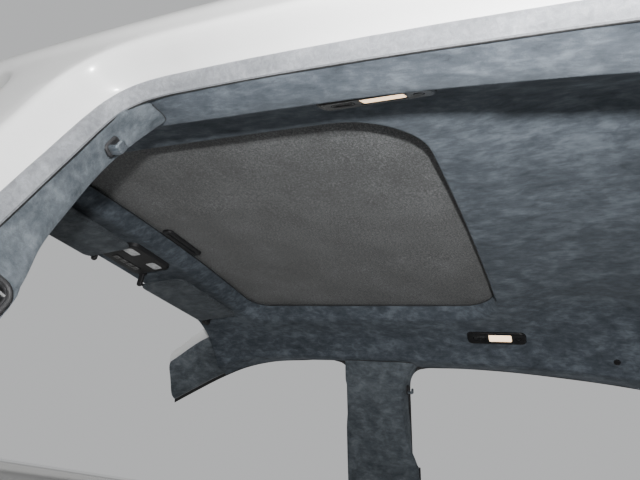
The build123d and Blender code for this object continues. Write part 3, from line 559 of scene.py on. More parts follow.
# --------------------------------------------------------------- materials
class Mat:
    """A principled material with helpers for its node tree; textures read object coordinates, in metres."""

    def __init__(self, name, colour, rough=0.5, metal=0.0, **extra):
        self.mat = bpy.data.materials.new(name)
        self.mat.use_nodes = True
        self.nt = self.mat.node_tree
        self.b = self.nt.nodes["Principled BSDF"]
        self.b.inputs["Base Color"].default_value = (*colour, 1)
        self.b.inputs["Roughness"].default_value = rough
        self.b.inputs["Metallic"].default_value = metal
        for k, v in extra.items():
            self.b.inputs[k.replace("_", " ")].default_value = v
        self._co = None

    def node(self, kind, **props):
        n = self.nt.nodes.new(kind)
        for k, v in props.items():
            setattr(n, k, v)
        return n

    def link(self, a, b):
        self.nt.links.new(a, b)

    def coords(self, scale=(1, 1, 1), turn=(0, 0, 0)):
        if self._co is None:
            self._co = self.node("ShaderNodeTexCoord").outputs["Object"]
        if scale == (1, 1, 1) and turn == (0, 0, 0):
            return self._co
        mp = self.node("ShaderNodeMapping")
        mp.inputs["Scale"].default_value = scale
        mp.inputs["Rotation"].default_value = turn
        self.link(self._co, mp.inputs["Vector"])
        return mp.outputs["Vector"]

    def noise(self, scale, detail=3.0, rough=0.5, distort=0.0, stretch=(1, 1, 1), turn=(0, 0, 0)):
        n = self.node("ShaderNodeTexNoise")
        n.inputs["Scale"].default_value = scale
        n.inputs["Detail"].default_value = detail
        n.inputs["Roughness"].default_value = rough
        n.inputs["Distortion"].default_value = distort
        self.link(self.coords(stretch, turn), n.inputs["Vector"])
        return n.outputs["Fac"]

    def cells(self, scale, feature="F1", stretch=(1, 1, 1), turn=(0, 0, 0)):
        n = self.node("ShaderNodeTexVoronoi", feature=feature)
        n.inputs["Scale"].default_value = scale
        self.link(self.coords(stretch, turn), n.inputs["Vector"])
        return n.outputs["Distance"]

    def math(self, op, a, b=0.0, clamp=False):
        n = self.node("ShaderNodeMath", operation=op, use_clamp=clamp)
        for k, v in enumerate((a, b)):
            if isinstance(v, (int, float)):
                n.inputs[k].default_value = v
            else:
                self.link(v, n.inputs[k])
        return n.outputs[0]

    def mix(self, parts):
        """Weighted sum of (output, weight)."""
        total = None
        for o, w in parts:
            t = self.math("MULTIPLY", o, w)
            total = t if total is None else self.math("ADD", total, t)
        return total

    def ramp(self, fac, stops, socket="Base Color", interp="LINEAR"):
        r = self.node("ShaderNodeValToRGB")
        r.color_ramp.interpolation = interp
        el = r.color_ramp.elements
        while len(el) < len(stops):
            el.new(0.5)
        for e, (p, c) in zip(el, stops):
            e.position = p
            e.color = (*c, 1) if len(c) == 3 else c
        self.link(fac, r.inputs["Fac"])
        if socket:
            self.link(r.outputs["Color"], self.b.inputs[socket])
        return r.outputs["Color"]

    def range(self, fac, a, b, lo=0.0, hi=1.0):
        n = self.node("ShaderNodeMapRange")
        for k, v in zip(("From Min", "From Max", "To Min", "To Max"), (lo, hi, a, b)):
            n.inputs[k].default_value = v
        self.link(fac, n.inputs["Value"])
        return n.outputs["Result"]

    def rough(self, fac, a, b, lo=0.3, hi=0.7):
        self.link(self.range(fac, a, b, lo, hi), self.b.inputs["Roughness"])

    def bump(self, height, strength, distance, after=None):
        n = self.node("ShaderNodeBump")
        n.inputs["Strength"].default_value = strength
        n.inputs["Distance"].default_value = distance
        self.link(height, n.inputs["Height"])
        if after is not None:
            self.link(after, n.inputs["Normal"])
        self.link(n.outputs["Normal"], self.b.inputs["Normal"])
        return n.outputs["Normal"]

    def sheen(self, weight, rough, tint):
        self.b.inputs["Sheen Weight"].default_value = weight
        self.b.inputs["Sheen Roughness"].default_value = rough
        self.b.inputs["Sheen Tint"].default_value = (*tint, 1)


M = {}


def suede(name, dark, mid, light, turn=0.5, nap=1.0):
    """Brushed suede: nap laid this way and that in clouds of 10 to 60 mm, short strokes, and a fine grain."""
    s = Mat(name, mid, 0.92, 0.0)
    t = (0, 0, turn)
    broad = s.noise(14, 4, 0.58, 0.6, (1.0, 0.8, 1.0), t)
    patch = s.noise(42, 4, 0.56, 0.4, (1.0, 0.7, 1.0), t)
    strokes = s.noise(150, 4, 0.60, 0.5, (1.0, 0.34, 0.8), (0, 0, turn + 0.5))
    grain = s.noise(1500, 2, 0.6)
    f = s.mix([(broad, 0.31), (patch, 0.30), (strokes, 0.20), (grain, 0.19)])
    s.ramp(f, [(0.37, dark), (0.50, mid), (0.63, light)])
    s.rough(patch, 0.98, 0.84)
    h = s.mix([(patch, 0.5), (strokes, 0.7), (grain, 0.9)])
    s.bump(h, 0.32 * nap, 0.0012)
    s.b.inputs["Specular IOR Level"].default_value = 0.2
    s.sheen(0.14, 0.45, (0.70, 0.78, 0.86))
    M[name] = s.mat
    return s


suede("lining_suede", (0.032, 0.039, 0.048), (0.074, 0.087, 0.104), (0.158, 0.184, 0.214))
# the pillar trims take a lighter copy of the lining's suede: painted light on the pillars
suede("trim_suede", (0.044, 0.052, 0.060), (0.100, 0.115, 0.130), (0.196, 0.220, 0.244), 0.9)
suede("visor_cloth", (0.034, 0.038, 0.044), (0.070, 0.079, 0.088), (0.130, 0.144, 0.158), 0.2)

# roller cloth: a tight plain weave with pale flecks
s = Mat("shade_cloth", (0.06, 0.06, 0.06), 0.7)
weave_a = s.node("ShaderNodeTexWave", wave_type="BANDS", bands_direction="X")
weave_b = s.node("ShaderNodeTexWave", wave_type="BANDS", bands_direction="Y")
for wv in (weave_a, weave_b):
    wv.inputs["Scale"].default_value = 210.0
    wv.inputs["Distortion"].default_value = 1.2
    wv.inputs["Detail"].default_value = 1.0
    s.link(s.coords(), wv.inputs["Vector"])
weave = s.math("MULTIPLY", weave_a.outputs["Fac"], weave_b.outputs["Fac"])
fleck = s.noise(520, 2, 0.7)
fleck2 = s.noise(210, 3, 0.7)
tone = s.noise(9, 3, 0.5)
f = s.mix([(weave, 0.12), (fleck, 0.42), (fleck2, 0.33), (tone, 0.13)])
s.ramp(f, [(0.39, (0.024, 0.025, 0.026)), (0.49, (0.064, 0.067, 0.070)), (0.56, (0.200, 0.206, 0.212))])
s.rough(fleck, 0.66, 0.50)
s.bump(s.mix([(weave, 0.5), (fleck, 0.8)]), 0.35, 0.0006)
s.b.inputs["Specular IOR Level"].default_value = 0.45
s.sheen(0.22, 0.5, (0.8, 0.8, 0.78))
M["shade_cloth"] = s.mat

# flocked seal rubber, with a soft worn tone along it
s = Mat("seal_rubber", (0.27, 0.28, 0.30), 0.8)
long_ = s.noise(34, 4, 0.6, 0.6, (1.0, 0.35, 0.5))
patch = s.noise(130, 4, 0.65, 0.8)
fibre = s.noise(1600, 2, 0.6)
f = s.mix([(long_, 0.40), (patch, 0.32), (fibre, 0.28)])
s.ramp(f, [(0.36, (0.140, 0.147, 0.160)), (0.50, (0.215, 0.225, 0.243)), (0.64, (0.335, 0.348, 0.372))])
s.rough(patch, 0.88, 0.62)
s.bump(s.mix([(fibre, 0.9), (patch, 0.3)]), 0.30, 0.0008)
s.sheen(0.35, 0.35, (0.85, 0.88, 0.93))
M["seal_rubber"] = s.mat

# darker grey rubber for the seal's inner lip, and painted shade on the side of the bulb that turns to the paint
s = Mat("seal_edge", (0.085, 0.088, 0.094), 0.75)
g = s.noise(260, 3, 0.6)
s.ramp(g, [(0.34, (0.090, 0.094, 0.102)), (0.66, (0.150, 0.156, 0.167))])
s.rough(g, 0.62, 0.82)
s.bump(s.noise(1400, 2), 0.2, 0.0005)
M["seal_edge"] = s.mat

s = Mat("black_rubber", (0.014, 0.014, 0.014), 0.55)
g = s.noise(300, 3, 0.6)
s.ramp(g, [(0.3, (0.010, 0.010, 0.010)), (0.7, (0.024, 0.024, 0.025))])
s.rough(g, 0.48, 0.68)
s.bump(s.noise(1400, 2), 0.15, 0.0004)
M["black_rubber"] = s.mat

# body paint: solid white under clear coat, faint orange peel
s = Mat("body_paint", (0.86, 0.865, 0.86), 0.32)
peel = s.noise(150, 2, 0.4)
dust = s.noise(14, 4, 0.6)
s.ramp(dust, [(0.3, (0.900, 0.905, 0.900)), (0.7, (0.925, 0.929, 0.925))])
s.rough(dust, 0.30, 0.38)
s.bump(peel, 0.04, 0.0006)
s.b.inputs["Coat Weight"].default_value = 0.5
s.b.inputs["Coat Roughness"].default_value = 0.16
M["body_paint"] = s.mat

s = Mat("inner_paint", (0.70, 0.705, 0.70), 0.5)
spray = s.noise(40, 4, 0.65)
grain = s.noise(700, 2)
s.ramp(spray, [(0.3, (0.62, 0.628, 0.62)), (0.7, (0.74, 0.744, 0.74))])
s.rough(spray, 0.42, 0.60)
s.bump(grain, 0.10, 0.0004)
M["inner_paint"] = s.mat


def moulded(name, dark, light, r0, r1, scale, depth, spec=0.5):
    """Moulded plastic with a leather-like cell grain."""
    s = Mat(name, dark, r0)
    cell = s.cells(scale)
    fine = s.noise(scale * 2.2, 2, 0.6)
    big = s.noise(24, 3, 0.6)
    s.ramp(s.mix([(cell, 0.5), (big, 0.5)]), [(0.25, dark), (0.65, light)])
    s.rough(big, r0, r1)
    s.bump(s.mix([(cell, 1.0), (fine, 0.4)]), 0.5, depth)
    s.b.inputs["Specular IOR Level"].default_value = spec
    M[name] = s.mat
    return s


moulded("edge_black", (0.012, 0.012, 0.013), (0.022, 0.022, 0.024), 0.50, 0.62, 900, 0.0002)
s = Mat("gloss_black", (0.006, 0.006, 0.007), 0.14)
smear = s.noise(60, 4, 0.7, 0.5)
s.ramp(smear, [(0.3, (0.006, 0.006, 0.007)), (0.7, (0.012, 0.012, 0.013))])
s.rough(smear, 0.14, 0.30)
s.b.inputs["Coat Weight"].default_value = 0.2
s.b.inputs["Coat Roughness"].default_value = 0.05
M["gloss_black"] = s.mat

s = Mat("steel_dark", (0.03, 0.031, 0.033), 0.45, 0.3)
g = s.noise(90, 4, 0.6)
s.ramp(g, [(0.3, (0.022, 0.023, 0.025)), (0.7, (0.045, 0.046, 0.050))])
s.rough(g, 0.38, 0.58)
s.bump(s.noise(800, 2), 0.12, 0.0003)
M["steel_dark"] = s.mat

s = Mat("vent_chrome", (0.78, 0.79, 0.80), 0.14, 1.0)
g = s.noise(220, 3, 0.6)
s.ramp(g, [(0.3, (0.70, 0.71, 0.72)), (0.7, (0.84, 0.85, 0.86))])
s.rough(g, 0.10, 0.22)
M["vent_chrome"] = s.mat

s = Mat("hook_metal", (0.30, 0.34, 0.38), 0.34, 0.85)
g = s.noise(420, 3, 0.6, 0.0, (1, 0.12, 1))
s.ramp(g, [(0.3, (0.24, 0.275, 0.31)), (0.7, (0.40, 0.44, 0.48))])
s.rough(g, 0.26, 0.44)
s.bump(g, 0.08, 0.0002)
M["hook_metal"] = s.mat

# safety glass: dark tint, a touch of dust in its gloss
s = Mat("tinted_glass", (0.018, 0.024, 0.026), 0.03)
g = s.noise(30, 4, 0.7)
s.ramp(g, [(0.3, (0.012, 0.017, 0.018)), (0.7, (0.024, 0.031, 0.033))])
s.rough(g, 0.015, 0.06)
s.b.inputs["Coat Weight"].default_value = 0.6
s.b.inputs["Coat Roughness"].default_value = 0.02
s.b.inputs["Transmission Weight"].default_value = 0.35
s.b.inputs["IOR"].default_value = 1.5
M["tinted_glass"] = s.mat

# printed band round a glass edge: black, with a faint noise in its tone
s = Mat("glass_band", (0.004, 0.004, 0.005), 0.05)
g = s.noise(40, 3, 0.6)
s.ramp(g, [(0.3, (0.003, 0.003, 0.004)), (0.7, (0.008, 0.008, 0.009))])
s.rough(g, 0.03, 0.08)
s.b.inputs["Coat Weight"].default_value = 0.6
M["glass_band"] = s.mat

# lit lens: warm white, ribbed
s = Mat("lamp_lens", (0.95, 0.86, 0.72), 0.35)
rib = s.node("ShaderNodeTexWave", wave_type="BANDS", bands_direction="Y")
rib.inputs["Scale"].default_value = 160.0
s.link(s.coords(), rib.inputs["Vector"])
s.ramp(rib.outputs["Fac"], [(0.1, (0.86, 0.72, 0.56)), (0.9, (1.0, 0.92, 0.80))])
s.ramp(rib.outputs["Fac"], [(0.1, (1.0, 0.62, 0.34)), (0.9, (1.0, 0.78, 0.52))], "Emission Color")
s.b.inputs["Emission Strength"].default_value = 2.4
s.bump(rib.outputs["Fac"], 0.3, 0.0006)
M["lamp_lens"] = s.mat

s = Mat("lens_clear", (0.72, 0.73, 0.74), 0.28)
rib = s.node("ShaderNodeTexWave", wave_type="BANDS", bands_direction="X")
rib.inputs["Scale"].default_value = 140.0
s.link(s.coords(), rib.inputs["Vector"])
s.ramp(rib.outputs["Fac"], [(0.1, (0.62, 0.63, 0.65)), (0.9, (0.80, 0.81, 0.82))])
s.rough(s.noise(80, 3), 0.2, 0.36)
s.bump(rib.outputs["Fac"], 0.35, 0.0006)
s.b.inputs["Coat Weight"].default_value = 0.4
M["lens_clear"] = s.mat

# thread for the sewn edges
s = Mat("thread", (0.10, 0.11, 0.12), 0.7)
g = s.noise(900, 2, 0.5, 0.0, (1, 3, 1))
s.ramp(g, [(0.3, (0.07, 0.08, 0.09)), (0.7, (0.17, 0.18, 0.20))])
s.bump(g, 0.4, 0.0003)
s.sheen(0.3, 0.4, (0.8, 0.8, 0.85))
M["thread"] = s.mat

s = Mat("floor", (0.62, 0.62, 0.61), 0.85)
g = s.noise(2.2, 3, 0.5)
s.ramp(g, [(0.3, (0.60, 0.60, 0.59)), (0.7, (0.645, 0.645, 0.635))])
s.rough(g, 0.80, 0.92)
tc_ = s.node("ShaderNodeTexCoord")
far_ = s.node("ShaderNodeVectorMath", operation="LENGTH")
s.link(tc_.outputs["Object"], far_.inputs[0])
s.link(s.range(far_.outputs["Value"], 0.0, 0.52, 2.8, 9.0), s.b.inputs["Emission Strength"])
s.b.inputs["Emission Color"].default_value = (0.84, 0.85, 0.86, 1)
M["floor"] = s.mat

SLOTS = {q["node"]: q["material_slot"] for q in frame["record"]["subparts"]}
for n_, o_ in NODES.items():
    o_.data.materials.clear()
    o_.data.materials.append(M[SLOTS[n_]])


# ============================================================ roof lining
LCOL = [Curve([r[0] for r in LINING], [r[k] for r in LINING]) for k in range(1, 8)]


LIP_Y = [-1150, -1040, -930, -830, -700, -569, -541, -320, -297, -266, -209, -36, 147, 300, 450, 520, 600]
LIP_Z = [366, 418, 460, 483, 495, 498, 498, 498, 490, 488, 490, 489, 478, 464, 443, 428, 520]


def lining_knots(y):
    zm, zb, xc, zc, xe, ze, zf = (c(y) for c in LCOL)
    zf = min(zf, float(np.interp(y, LIP_Y, LIP_Z)))      # its edge meets the seals' inner lip
    xf = flange_x(y, zf) - 10.5
    pts = [(x, zm - (zm - zb) * (x / CROWN_X) ** 2) for x in (0.0, 150.0, 300.0, CROWN_X)]
    pts += [((CROWN_X + xc) / 2, (zb + zc) / 2 + 6.5), (xc, zc), (xc + (xe - xc) * 0.42, zc - (zc - ze) * 0.40),
            (xe - 15.0, ze + 14.0), (xe - 7.0, ze + 3.5), (xe + 6.0, ze), (xf, zf)]
    return pts


_ref = lining_knots(-200.0)
LP = [0.0, 150.0, 300.0, CROWN_X]
for a_, b_ in zip(_ref[3:], _ref[4:]):
    LP.append(LP[-1] + math.hypot(b_[0] - a_[0], b_[1] - a_[1]))
P_MAX = LP[-1]
_sections = {}


def lining_section(y):
    key = round(y, 3)
    if key not in _sections:
        k = lining_knots(y)
        _sections[key] = (Curve(LP, [q[0] for q in k]), Curve(LP, [q[1] for q in k], d0=0.0))
    return _sections[key]


lamp_n = Vector((math.sin(math.radians(LAMP_SLOPE)), 0, math.cos(math.radians(LAMP_SLOPE))))    # out of the lining's upper side
lamp_u = Vector((math.cos(math.radians(LAMP_SLOPE)), 0, -math.sin(math.radians(LAMP_SLOPE))))   # across the lamp


def lining_point(p, y):
    xs, zs = lining_section(y)
    x, z = xs(abs(p)), zs(abs(p))
    q = Vector((x, y, z)) - LAMP
    u, v, w = abs(q.dot(lamp_u)) - 24.0, abs(q.y) - 84.0, q.dot(lamp_n)
    d = math.hypot(max(u, 0.0), max(v, 0.0))
    if d < 44 and abs(w) < 40:
        t = 1 - d / 44
        q -= lamp_n * (w * t * t * (3 - 2 * t))
        x, z = LAMP.x + q.x, LAMP.z + q.z
    wob = 0.35 * noise.noise(Vector((x * 0.012, y * 0.012, 3.1)))
    return Vector((math.copysign(x, p) if p else 0.0, y, z + wob))


def lining_p(x, y):
    """Place along the section whose plan point is x."""
    xs = lining_section(y)[0]
    lo_, hi_ = 0.0, P_MAX
    for _ in range(30):
        mid = (lo_ + hi_) / 2
        if xs(mid) < abs(x):
            lo_ = mid
        else:
            hi_ = mid
    return math.copysign((lo_ + hi_) / 2, x)


def lining_z(x, y):
    """Height of the lining's lower face over a plan point."""
    return lining_section(y)[1](abs(lining_p(x, y)))


def shade_base(x):
    return SHADE_Z + SHADE_CROWN * (1 - (min(abs(x), 453.0) / 453.0) ** 2)


def open_loop(size, grow):
    """Outline of the sunroof opening, the same count of points along each side whatever its size."""
    hx, y0, y1, rf, rr_ = size
    hx, y0, y1, rf, rr_ = hx + grow, y0 - grow, y1 + grow, rf + grow, rr_ + grow
    pts = []

    def side(a, b, n):
        pts.extend((a[0] + (b[0] - a[0]) * k / n, a[1] + (b[1] - a[1]) * k / n) for k in range(n))

    def arc(cx, cy, r, a0, n):
        pts.extend((cx + r * math.cos(math.radians(a0 + 90 * k / n)), cy + r * math.sin(math.radians(a0 + 90 * k / n))) for k in range(n))

    side((hx, y0 + rf), (hx, y1 - rr_), 52)
    arc(hx - rr_, y1 - rr_, rr_, 0, 18)
    side((hx - rr_, y1), (-hx + rr_, y1), 58)
    arc(-hx + rr_, y1 - rr_, rr_, 90, 18)
    side((-hx, y1 - rr_), (-hx, y0 + rf), 52)
    arc(-hx + rf, y0 + rf, rf, 180, 13)
    side((-hx + rf, y0), (hx - rf, y0), 66)
    arc(hx - rf, y0 + rf, rf, 270, 13)
    return pts


P_HALF = spread(0, 300, 25) + spread(300, 436, 15)[1:] + spread(436, LP[6], 10)[1:] + spread(LP[6], LP[7], 8)[1:] + spread(LP[7], P_MAX, 3.6)[1:]
P_ALL = [-p for p in reversed(P_HALF[1:])] + P_HALF
Y_ALL = spread(-1012, 1132, 22)
lin = Build()
lip_out, lip_in, lip_top = open_loop(OPEN_LIP, 9.0), open_loop(OPEN_LIP, 0.0), open_loop(OPEN_TOP, 0.0)
hole = [(lining_p(x, y), y) for x, y in lip_out]
outer = [(p, -1012.0) for p in P_ALL] + [(P_MAX, y) for y in Y_ALL[1:]] + [(p, 1132.0) for p in reversed(P_ALL[:-1])] + [(-P_MAX, y) for y in reversed(Y_ALL[1:-1])]
grid = np.array([(p, y) for p in P_ALL[1:-1] for y in Y_ALL[1:-1]])
keep_ = ~inside(hole, grid) & ~near_loop(hole, grid, 5.0)
ids = lin.flat(outer, [hole], [tuple(q) for q in grid[keep_]], lambda p, y: lining_point(p, y), flip=True)
# the covering rolls over the lip and goes up the opening's slanted wall to just under the shade
ends = []
for (ax, ay), (lx, ly), (tx, ty) in zip(lip_out, lip_in, lip_top):
    t = Vector((tx, ty, shade_base(tx) - 5.5))
    l_ = Vector((lx, ly, lining_z(lx, ly)))
    ends.append((lining_point(lining_p(ax, ay), ay), l_, l_ + (t - l_) * 0.25, t))
rows = [ids[1]]
for t in (0.2, 0.4, 0.6, 0.8, 1.0):
    rows.append(lin.pts([tuple(a * (1 - t) ** 2 + l_ * (2 * t * (1 - t)) + c * t * t) for a, l_, c, _ in ends]))
for t in (0.25, 0.5, 0.75, 1.0):
    rows.append(lin.pts([tuple(c + (e - c) * t) for _, _, c, e in ends]))
for a_, b_ in zip(rows, rows[1:]):
    lin.bridge(a_, b_, closed=True)
bm_ = lin.bm()
bmesh.ops.recalc_face_normals(bm_, faces=bm_.faces)
if sum(f.normal.z * f.calc_area() for f in bm_.faces) > 0:
    bmesh.ops.reverse_faces(bm_, faces=bm_.faces)


def shell_bm(bm, t):
    """Closed shell from an open surface in a bmesh; normals point to the seen side; t in mm."""
    bm.normal_update()
    bm.verts.index_update()
    bm.verts.ensure_lookup_table()
    old = list(bm.verts)
    faces = list(bm.faces)
    edges = [(e, e.link_faces[0]) for e in bm.edges if len(e.link_faces) == 1]
    back = [bm.verts.new(v.co - v.normal * t * MM) for v in old]
    for f in faces:
        g = bm.faces.new([back[v.index] for v in reversed(f.verts)])
        g.material_index = f.material_index
    for e, f in edges:
        for lp in f.loops:
            if lp.edge == e:
                a, b = lp.vert, lp.link_loop_next.vert
                g = bm.faces.new([b, a, back[a.index], back[b.index]])
                g.material_index = f.material_index
                break
    return bm


roof_lining = piece("lining", shell_bm(bm_, 4.5), ["lining_suede"], "roof", "lining_suede", ["roof_lining", "opening_wall"])


# black bead round the top of the wall, an edging whose black also paints the shade in the gap under the sunshade's edge
bead = Build()
section = [(-1.7 + 1.3 * math.cos(a), -6.8 + 1.3 * math.sin(a)) for a in (math.tau * k / 10 for k in range(10))]
ids = [bead.pts([(x, y, shade_base(x) + h_) for x, y in open_loop(OPEN_TOP, g_)]) for g_, h_ in section]
for k in range(len(ids)):
    bead.bridge(ids[k], ids[(k + 1) % len(ids)], closed=True)
piece("opening_bead", bead.bm(), ["edge_black"], "roof", "edge_black", ["opening_edging"])

# ============================================================= sunshade
sh = Build()


def shade_z(x, y):
    z = shade_base(x)
    # faint pull marks near the rear corners and a soft wave between the bows
    pull = math.exp(-(((abs(x) - 425) / 40) ** 2 + ((y + 28) / 46) ** 2))
    z += 1.1 * pull * math.sin((abs(x) * 0.8 - y * 0.6) * 0.16)
    z -= 0.8 * (0.5 + 0.5 * math.cos(math.tau * (y + 400) / 272)) * (1 - (x / SHADE_HX) ** 2)
    return z


XS, YS = spread(-SHADE_HX, SHADE_HX, 12), spread(SHADE_Y0, SHADE_Y1, 13)
low = [sh.pts([(x, y, shade_z(x, y)) for x in XS]) for y in YS]
for a_, b_ in zip(low, low[1:]):
    sh.bridge(a_, b_)
bm_ = sh.bm()
bmesh.ops.recalc_face_normals(bm_, faces=bm_.faces)
if sum(f.normal.z * f.calc_area() for f in bm_.faces) > 0:
    bmesh.ops.reverse_faces(bm_, faces=bm_.faces)
piece("shade_sheet", shell_bm(bm_, 3.2), ["shade_cloth"], "sunshade", "shade_cloth", ["sunshade_panel"])

# ============================================================ door seals
def seal_surface(flange, sign, name, node, y_end=None):
    """Bulb seal pushed on the flange: smooth flocked bulb, ridge, and a black lip against the trim."""
    path = Path2(flange)
    #   u towards the body, v out of the flange, from the trim's side round the bulb
    prof = [(-12.6, -8.6), (-12.9, -6.8), (-11.9, -5.4), (-10.4, -5.6), (-9.8, -4.2), (-9.6, -1.0), (-8.8, 2.8), (-6.9, 6.8), (-4.0, 10.2),
            (-0.4, 12.4), (3.4, 12.7), (6.9, 11.0), (9.3, 7.8), (10.6, 3.8), (10.9, 0.2), (10.4, -4.2), (9.0, -7.0), (5.6, -8.2), (-2.0, -8.6), (-8.6, -9.0), (-11.4, -9.6)]
    # segments 10 to 13, the bulb's flank towards the body, take the darker rubber as painted shade
    seg_mat = [1, 2, 2] + [0] * 7 + [2] * 4 + [0] * 4 + [1] * 3
    ts = spread(0, path.length, 9.0)
    rows = []
    n_out = Vector((1, 0, TUMBLE)).normalized()
    for t in ts:
        y, z = path(t)
        (y0, z0), (y1, z1) = path(t - 0.5), path(t + 0.5)
        tan = Vector((flange_x(y1, z1) - flange_x(y0, z0), y1 - y0, z1 - z0)).normalized()
        side = tan.cross(n_out).normalized() * sign
        base = Vector((flange_x(y, z), y, z))
        nrm = (n_out - tan * n_out.dot(tan)).normalized()
        wob = 0.5 * noise.noise(Vector((y * 0.02, z * 0.02, 7.7)))
        rows.append([base + side * (-11.0 + u) + nrm * (v * (1 + 0.03 * wob) + 0.4 * wob) for u, v in prof])
    b = Build()
    ids = [b.pts(r) for r in rows]
    for r0, r1 in zip(ids, ids[1:]):
        for k in range(len(prof)):
            j = (k + 1) % len(prof)
            b.f.append((r0[k], r0[j], r1[j], r1[k]))
            b.m.append(seg_mat[k])
    for ring in (ids[0], ids[-1]):
        b.fan(ring, 1)
    bm = b.bm()
    bmesh.ops.bisect_plane(bm, geom=list(bm.verts) + list(bm.edges) + list(bm.faces), dist=1e-7,
                           plane_co=Vector((0, 0, 0)), plane_no=Vector((0, 0, -1)), clear_outer=True)
    bmesh.ops.holes_fill(bm, edges=[e for e in bm.edges if e.is_boundary], sides=0)
    if y_end is not None:
        bmesh.ops.bisect_plane(bm, geom=list(bm.verts) + list(bm.edges) + list(bm.faces), dist=1e-7,
                               plane_co=Vector((0, y_end * MM, 0)), plane_no=Vector((0, -1, 0)), clear_outer=True)
        bmesh.ops.holes_fill(bm, edges=[e for e in bm.edges if e.is_boundary], sides=0)
    return pair(name, bm, ["seal_rubber", "black_rubber", "seal_edge"], "roof", "seal_rubber", node, angle=60)


seal_surface(REAR_FLANGE, -1, "seal_rear_door", "rear_door_seal")
seal_surface(FRONT_FLANGE[:14], 1, "seal_front_door", "front_door_seal", -1238.0)


# ========================================================== side frames
SCOL = [Curve([r[0] for r in SIDE], [r[k] for r in SIDE]) for k in (1, 2, 3)]
S_UP = [0.0, 50.0, 99.0, 142.0, 184.0]        # shoulder, from the ditch down to where the side runs straight


def side_curves(y):
    xd, zd, k = (c(y) for c in SCOL)
    pin = plan_in(y)
    z5 = zd - 107 * k
    x5 = OUTER_X0 - OUTER_TUMBLE * (z5 - OUTER_Z0) - pin
    w = x5 - xd
    xs = [xd, xd + 0.39 * w, xd + 0.72 * w, xd + 0.92 * w, x5]
    zs = [zd, zd - 6 * k, zd - 31 * k, zd - 68 * k, z5]
    return Curve(S_UP, xs, d1=OUTER_TUMBLE), Curve(S_UP, zs, d1=-1.0), z5, pin


_side = {}


def side_at(y):
    key = round(y, 3)
    if key not in _side:
        _side[key] = side_curves(y)
    return _side[key]


def side_point(y, s):
    """Outer skin: y along the body, s down from the ditch."""
    cx, cz, z5, pin = side_at(y)
    if s <= S_UP[-1]:
        return Vector((cx(s), y, cz(s)))
    z = z5 - (s - S_UP[-1])
    return Vector((outer_x(y, z), y, z))


def side_s(y, z):
    cx, cz, z5, pin = side_at(y)
    if z <= z5:
        return S_UP[-1] + z5 - z
    lo_, hi_ = 0.0, S_UP[-1]
    for _ in range(28):
        mid = (lo_ + hi_) / 2
        if cz(mid) > z:
            lo_ = mid
        else:
            hi_ = mid
    return (lo_ + hi_) / 2


def inner_x(y, z):
    xd, zd, k = (c(y) for c in SCOL)
    zt, zm = zd - 62 * k, zd - 148 * k
    if z <= zm:
        t = z / zm
        return (flange_x(y, 0) - 26) * (1 - t) + (flange_x(y, zm) - 22) * t
    if z <= zt:
        t = (z - zm) / (zt - zm)
        return (flange_x(y, zm) - 22) * (1 - t) + (xd + 12) * t
    t = (z - zt) / (22 * k)
    return (xd + 12) * (1 - t) + xd * t


def loops_of(flange, jamb, step=9.0):
    """Flange outline, and the outer edge of its rebate on the skin, point for point, as (y, z)."""
    path = Path2(flange)
    dy, dz = Curve(path.ts, [j[0] for j in jamb]), Curve(path.ts, [j[1] for j in jamb])
    ts = spread(0, path.length, step)
    inner = [path(t) for t in ts]
    outer_ = [(p[0] + dy(t), p[1] + dz(t)) for p, t in zip(inner, ts)]
    return inner, outer_


def grown(loop, by, sign):
    """Open outline moved square to itself."""
    out = []
    n = len(loop)
    for k in range(n):
        a, b = loop[max(k - 1, 0)], loop[min(k + 1, n - 1)]
        d = math.hypot(b[0] - a[0], b[1] - a[1]) or 1e-9
        out.append((loop[k][0] - (b[1] - a[1]) / d * by * sign, loop[k][1] + (b[0] - a[0]) / d * by * sign))
    return out


def qw_loop(grow, n_arc=8, step=14.0):
    """Quarter window outline (y, z), grown, turning from its front lower corner."""
    n = len(QW)
    pts = []
    for i in range(n):
        y, z, r = QW[i]
        r = r + grow
        (ya, za, _), (yb, zb, _) = QW[i - 1], QW[(i + 1) % n]
        u1 = Vector((y - ya, z - za)).normalized()
        u2 = Vector((yb - y, zb - z)).normalized()
        n1, n2 = Vector((u1[1], -u1[0])), Vector((u2[1], -u2[0]))
        c = Vector((y, z)) + (n1 + n2) * (grow / (1 + n1.dot(n2)))
        half = math.acos(max(-1, min(1, u1.dot(u2)))) / 2
        o = c - u1 * (r * math.tan(half)) - n1 * r
        a0 = math.atan2(n1[1], n1[0])
        ring = [(o[0] + r * math.cos(a0 + 2 * half * k / n_arc), o[1] + r * math.sin(a0 + 2 * half * k / n_arc)) for k in range(n_arc + 1)]
        pts.append(ring)
    out = []
    for i in range(n):
        out += pts[i]
        a, b = pts[i][-1], pts[(i + 1) % n][0]
        m_ = [20, 14, 16, 16][i]
        out += [(a[0] + (b[0] - a[0]) * k / m_, a[1] + (b[1] - a[1]) * k / m_) for k in range(1, m_)]
    return out


side = Build()
doors = []
for flange, jamb, sgn in ((REAR_FLANGE, REAR_JAMB, 1), (FRONT_FLANGE, FRONT_JAMB, -1)):
    fin, fout = loops_of(flange, jamb)
    if sgn < 0:                                   # close the front way below the pillar stub
        along = [-1285.0 + 38.0 * k for k in range(20)]
        fin = fin + [(-1300.0, 313.0 - 30 * k) for k in range(1, 12)] + [(y, -22.0) for y in along]
        fout = fout + [(-1314.0, 341.0 - 31 * k) for k in range(1, 12)] + [(y, -22.0) for y in along]
    doors.append((fin, fout, sgn))

# outer skin
Y_S = spread(-1340, 1270, 22)
S_S = spread(0, 184, 8) + [184 + 14 * k for k in range(1, 60)]


def s_clip(y, z):
    return side_s(max(-1340.0, min(1270.0, y)), z)


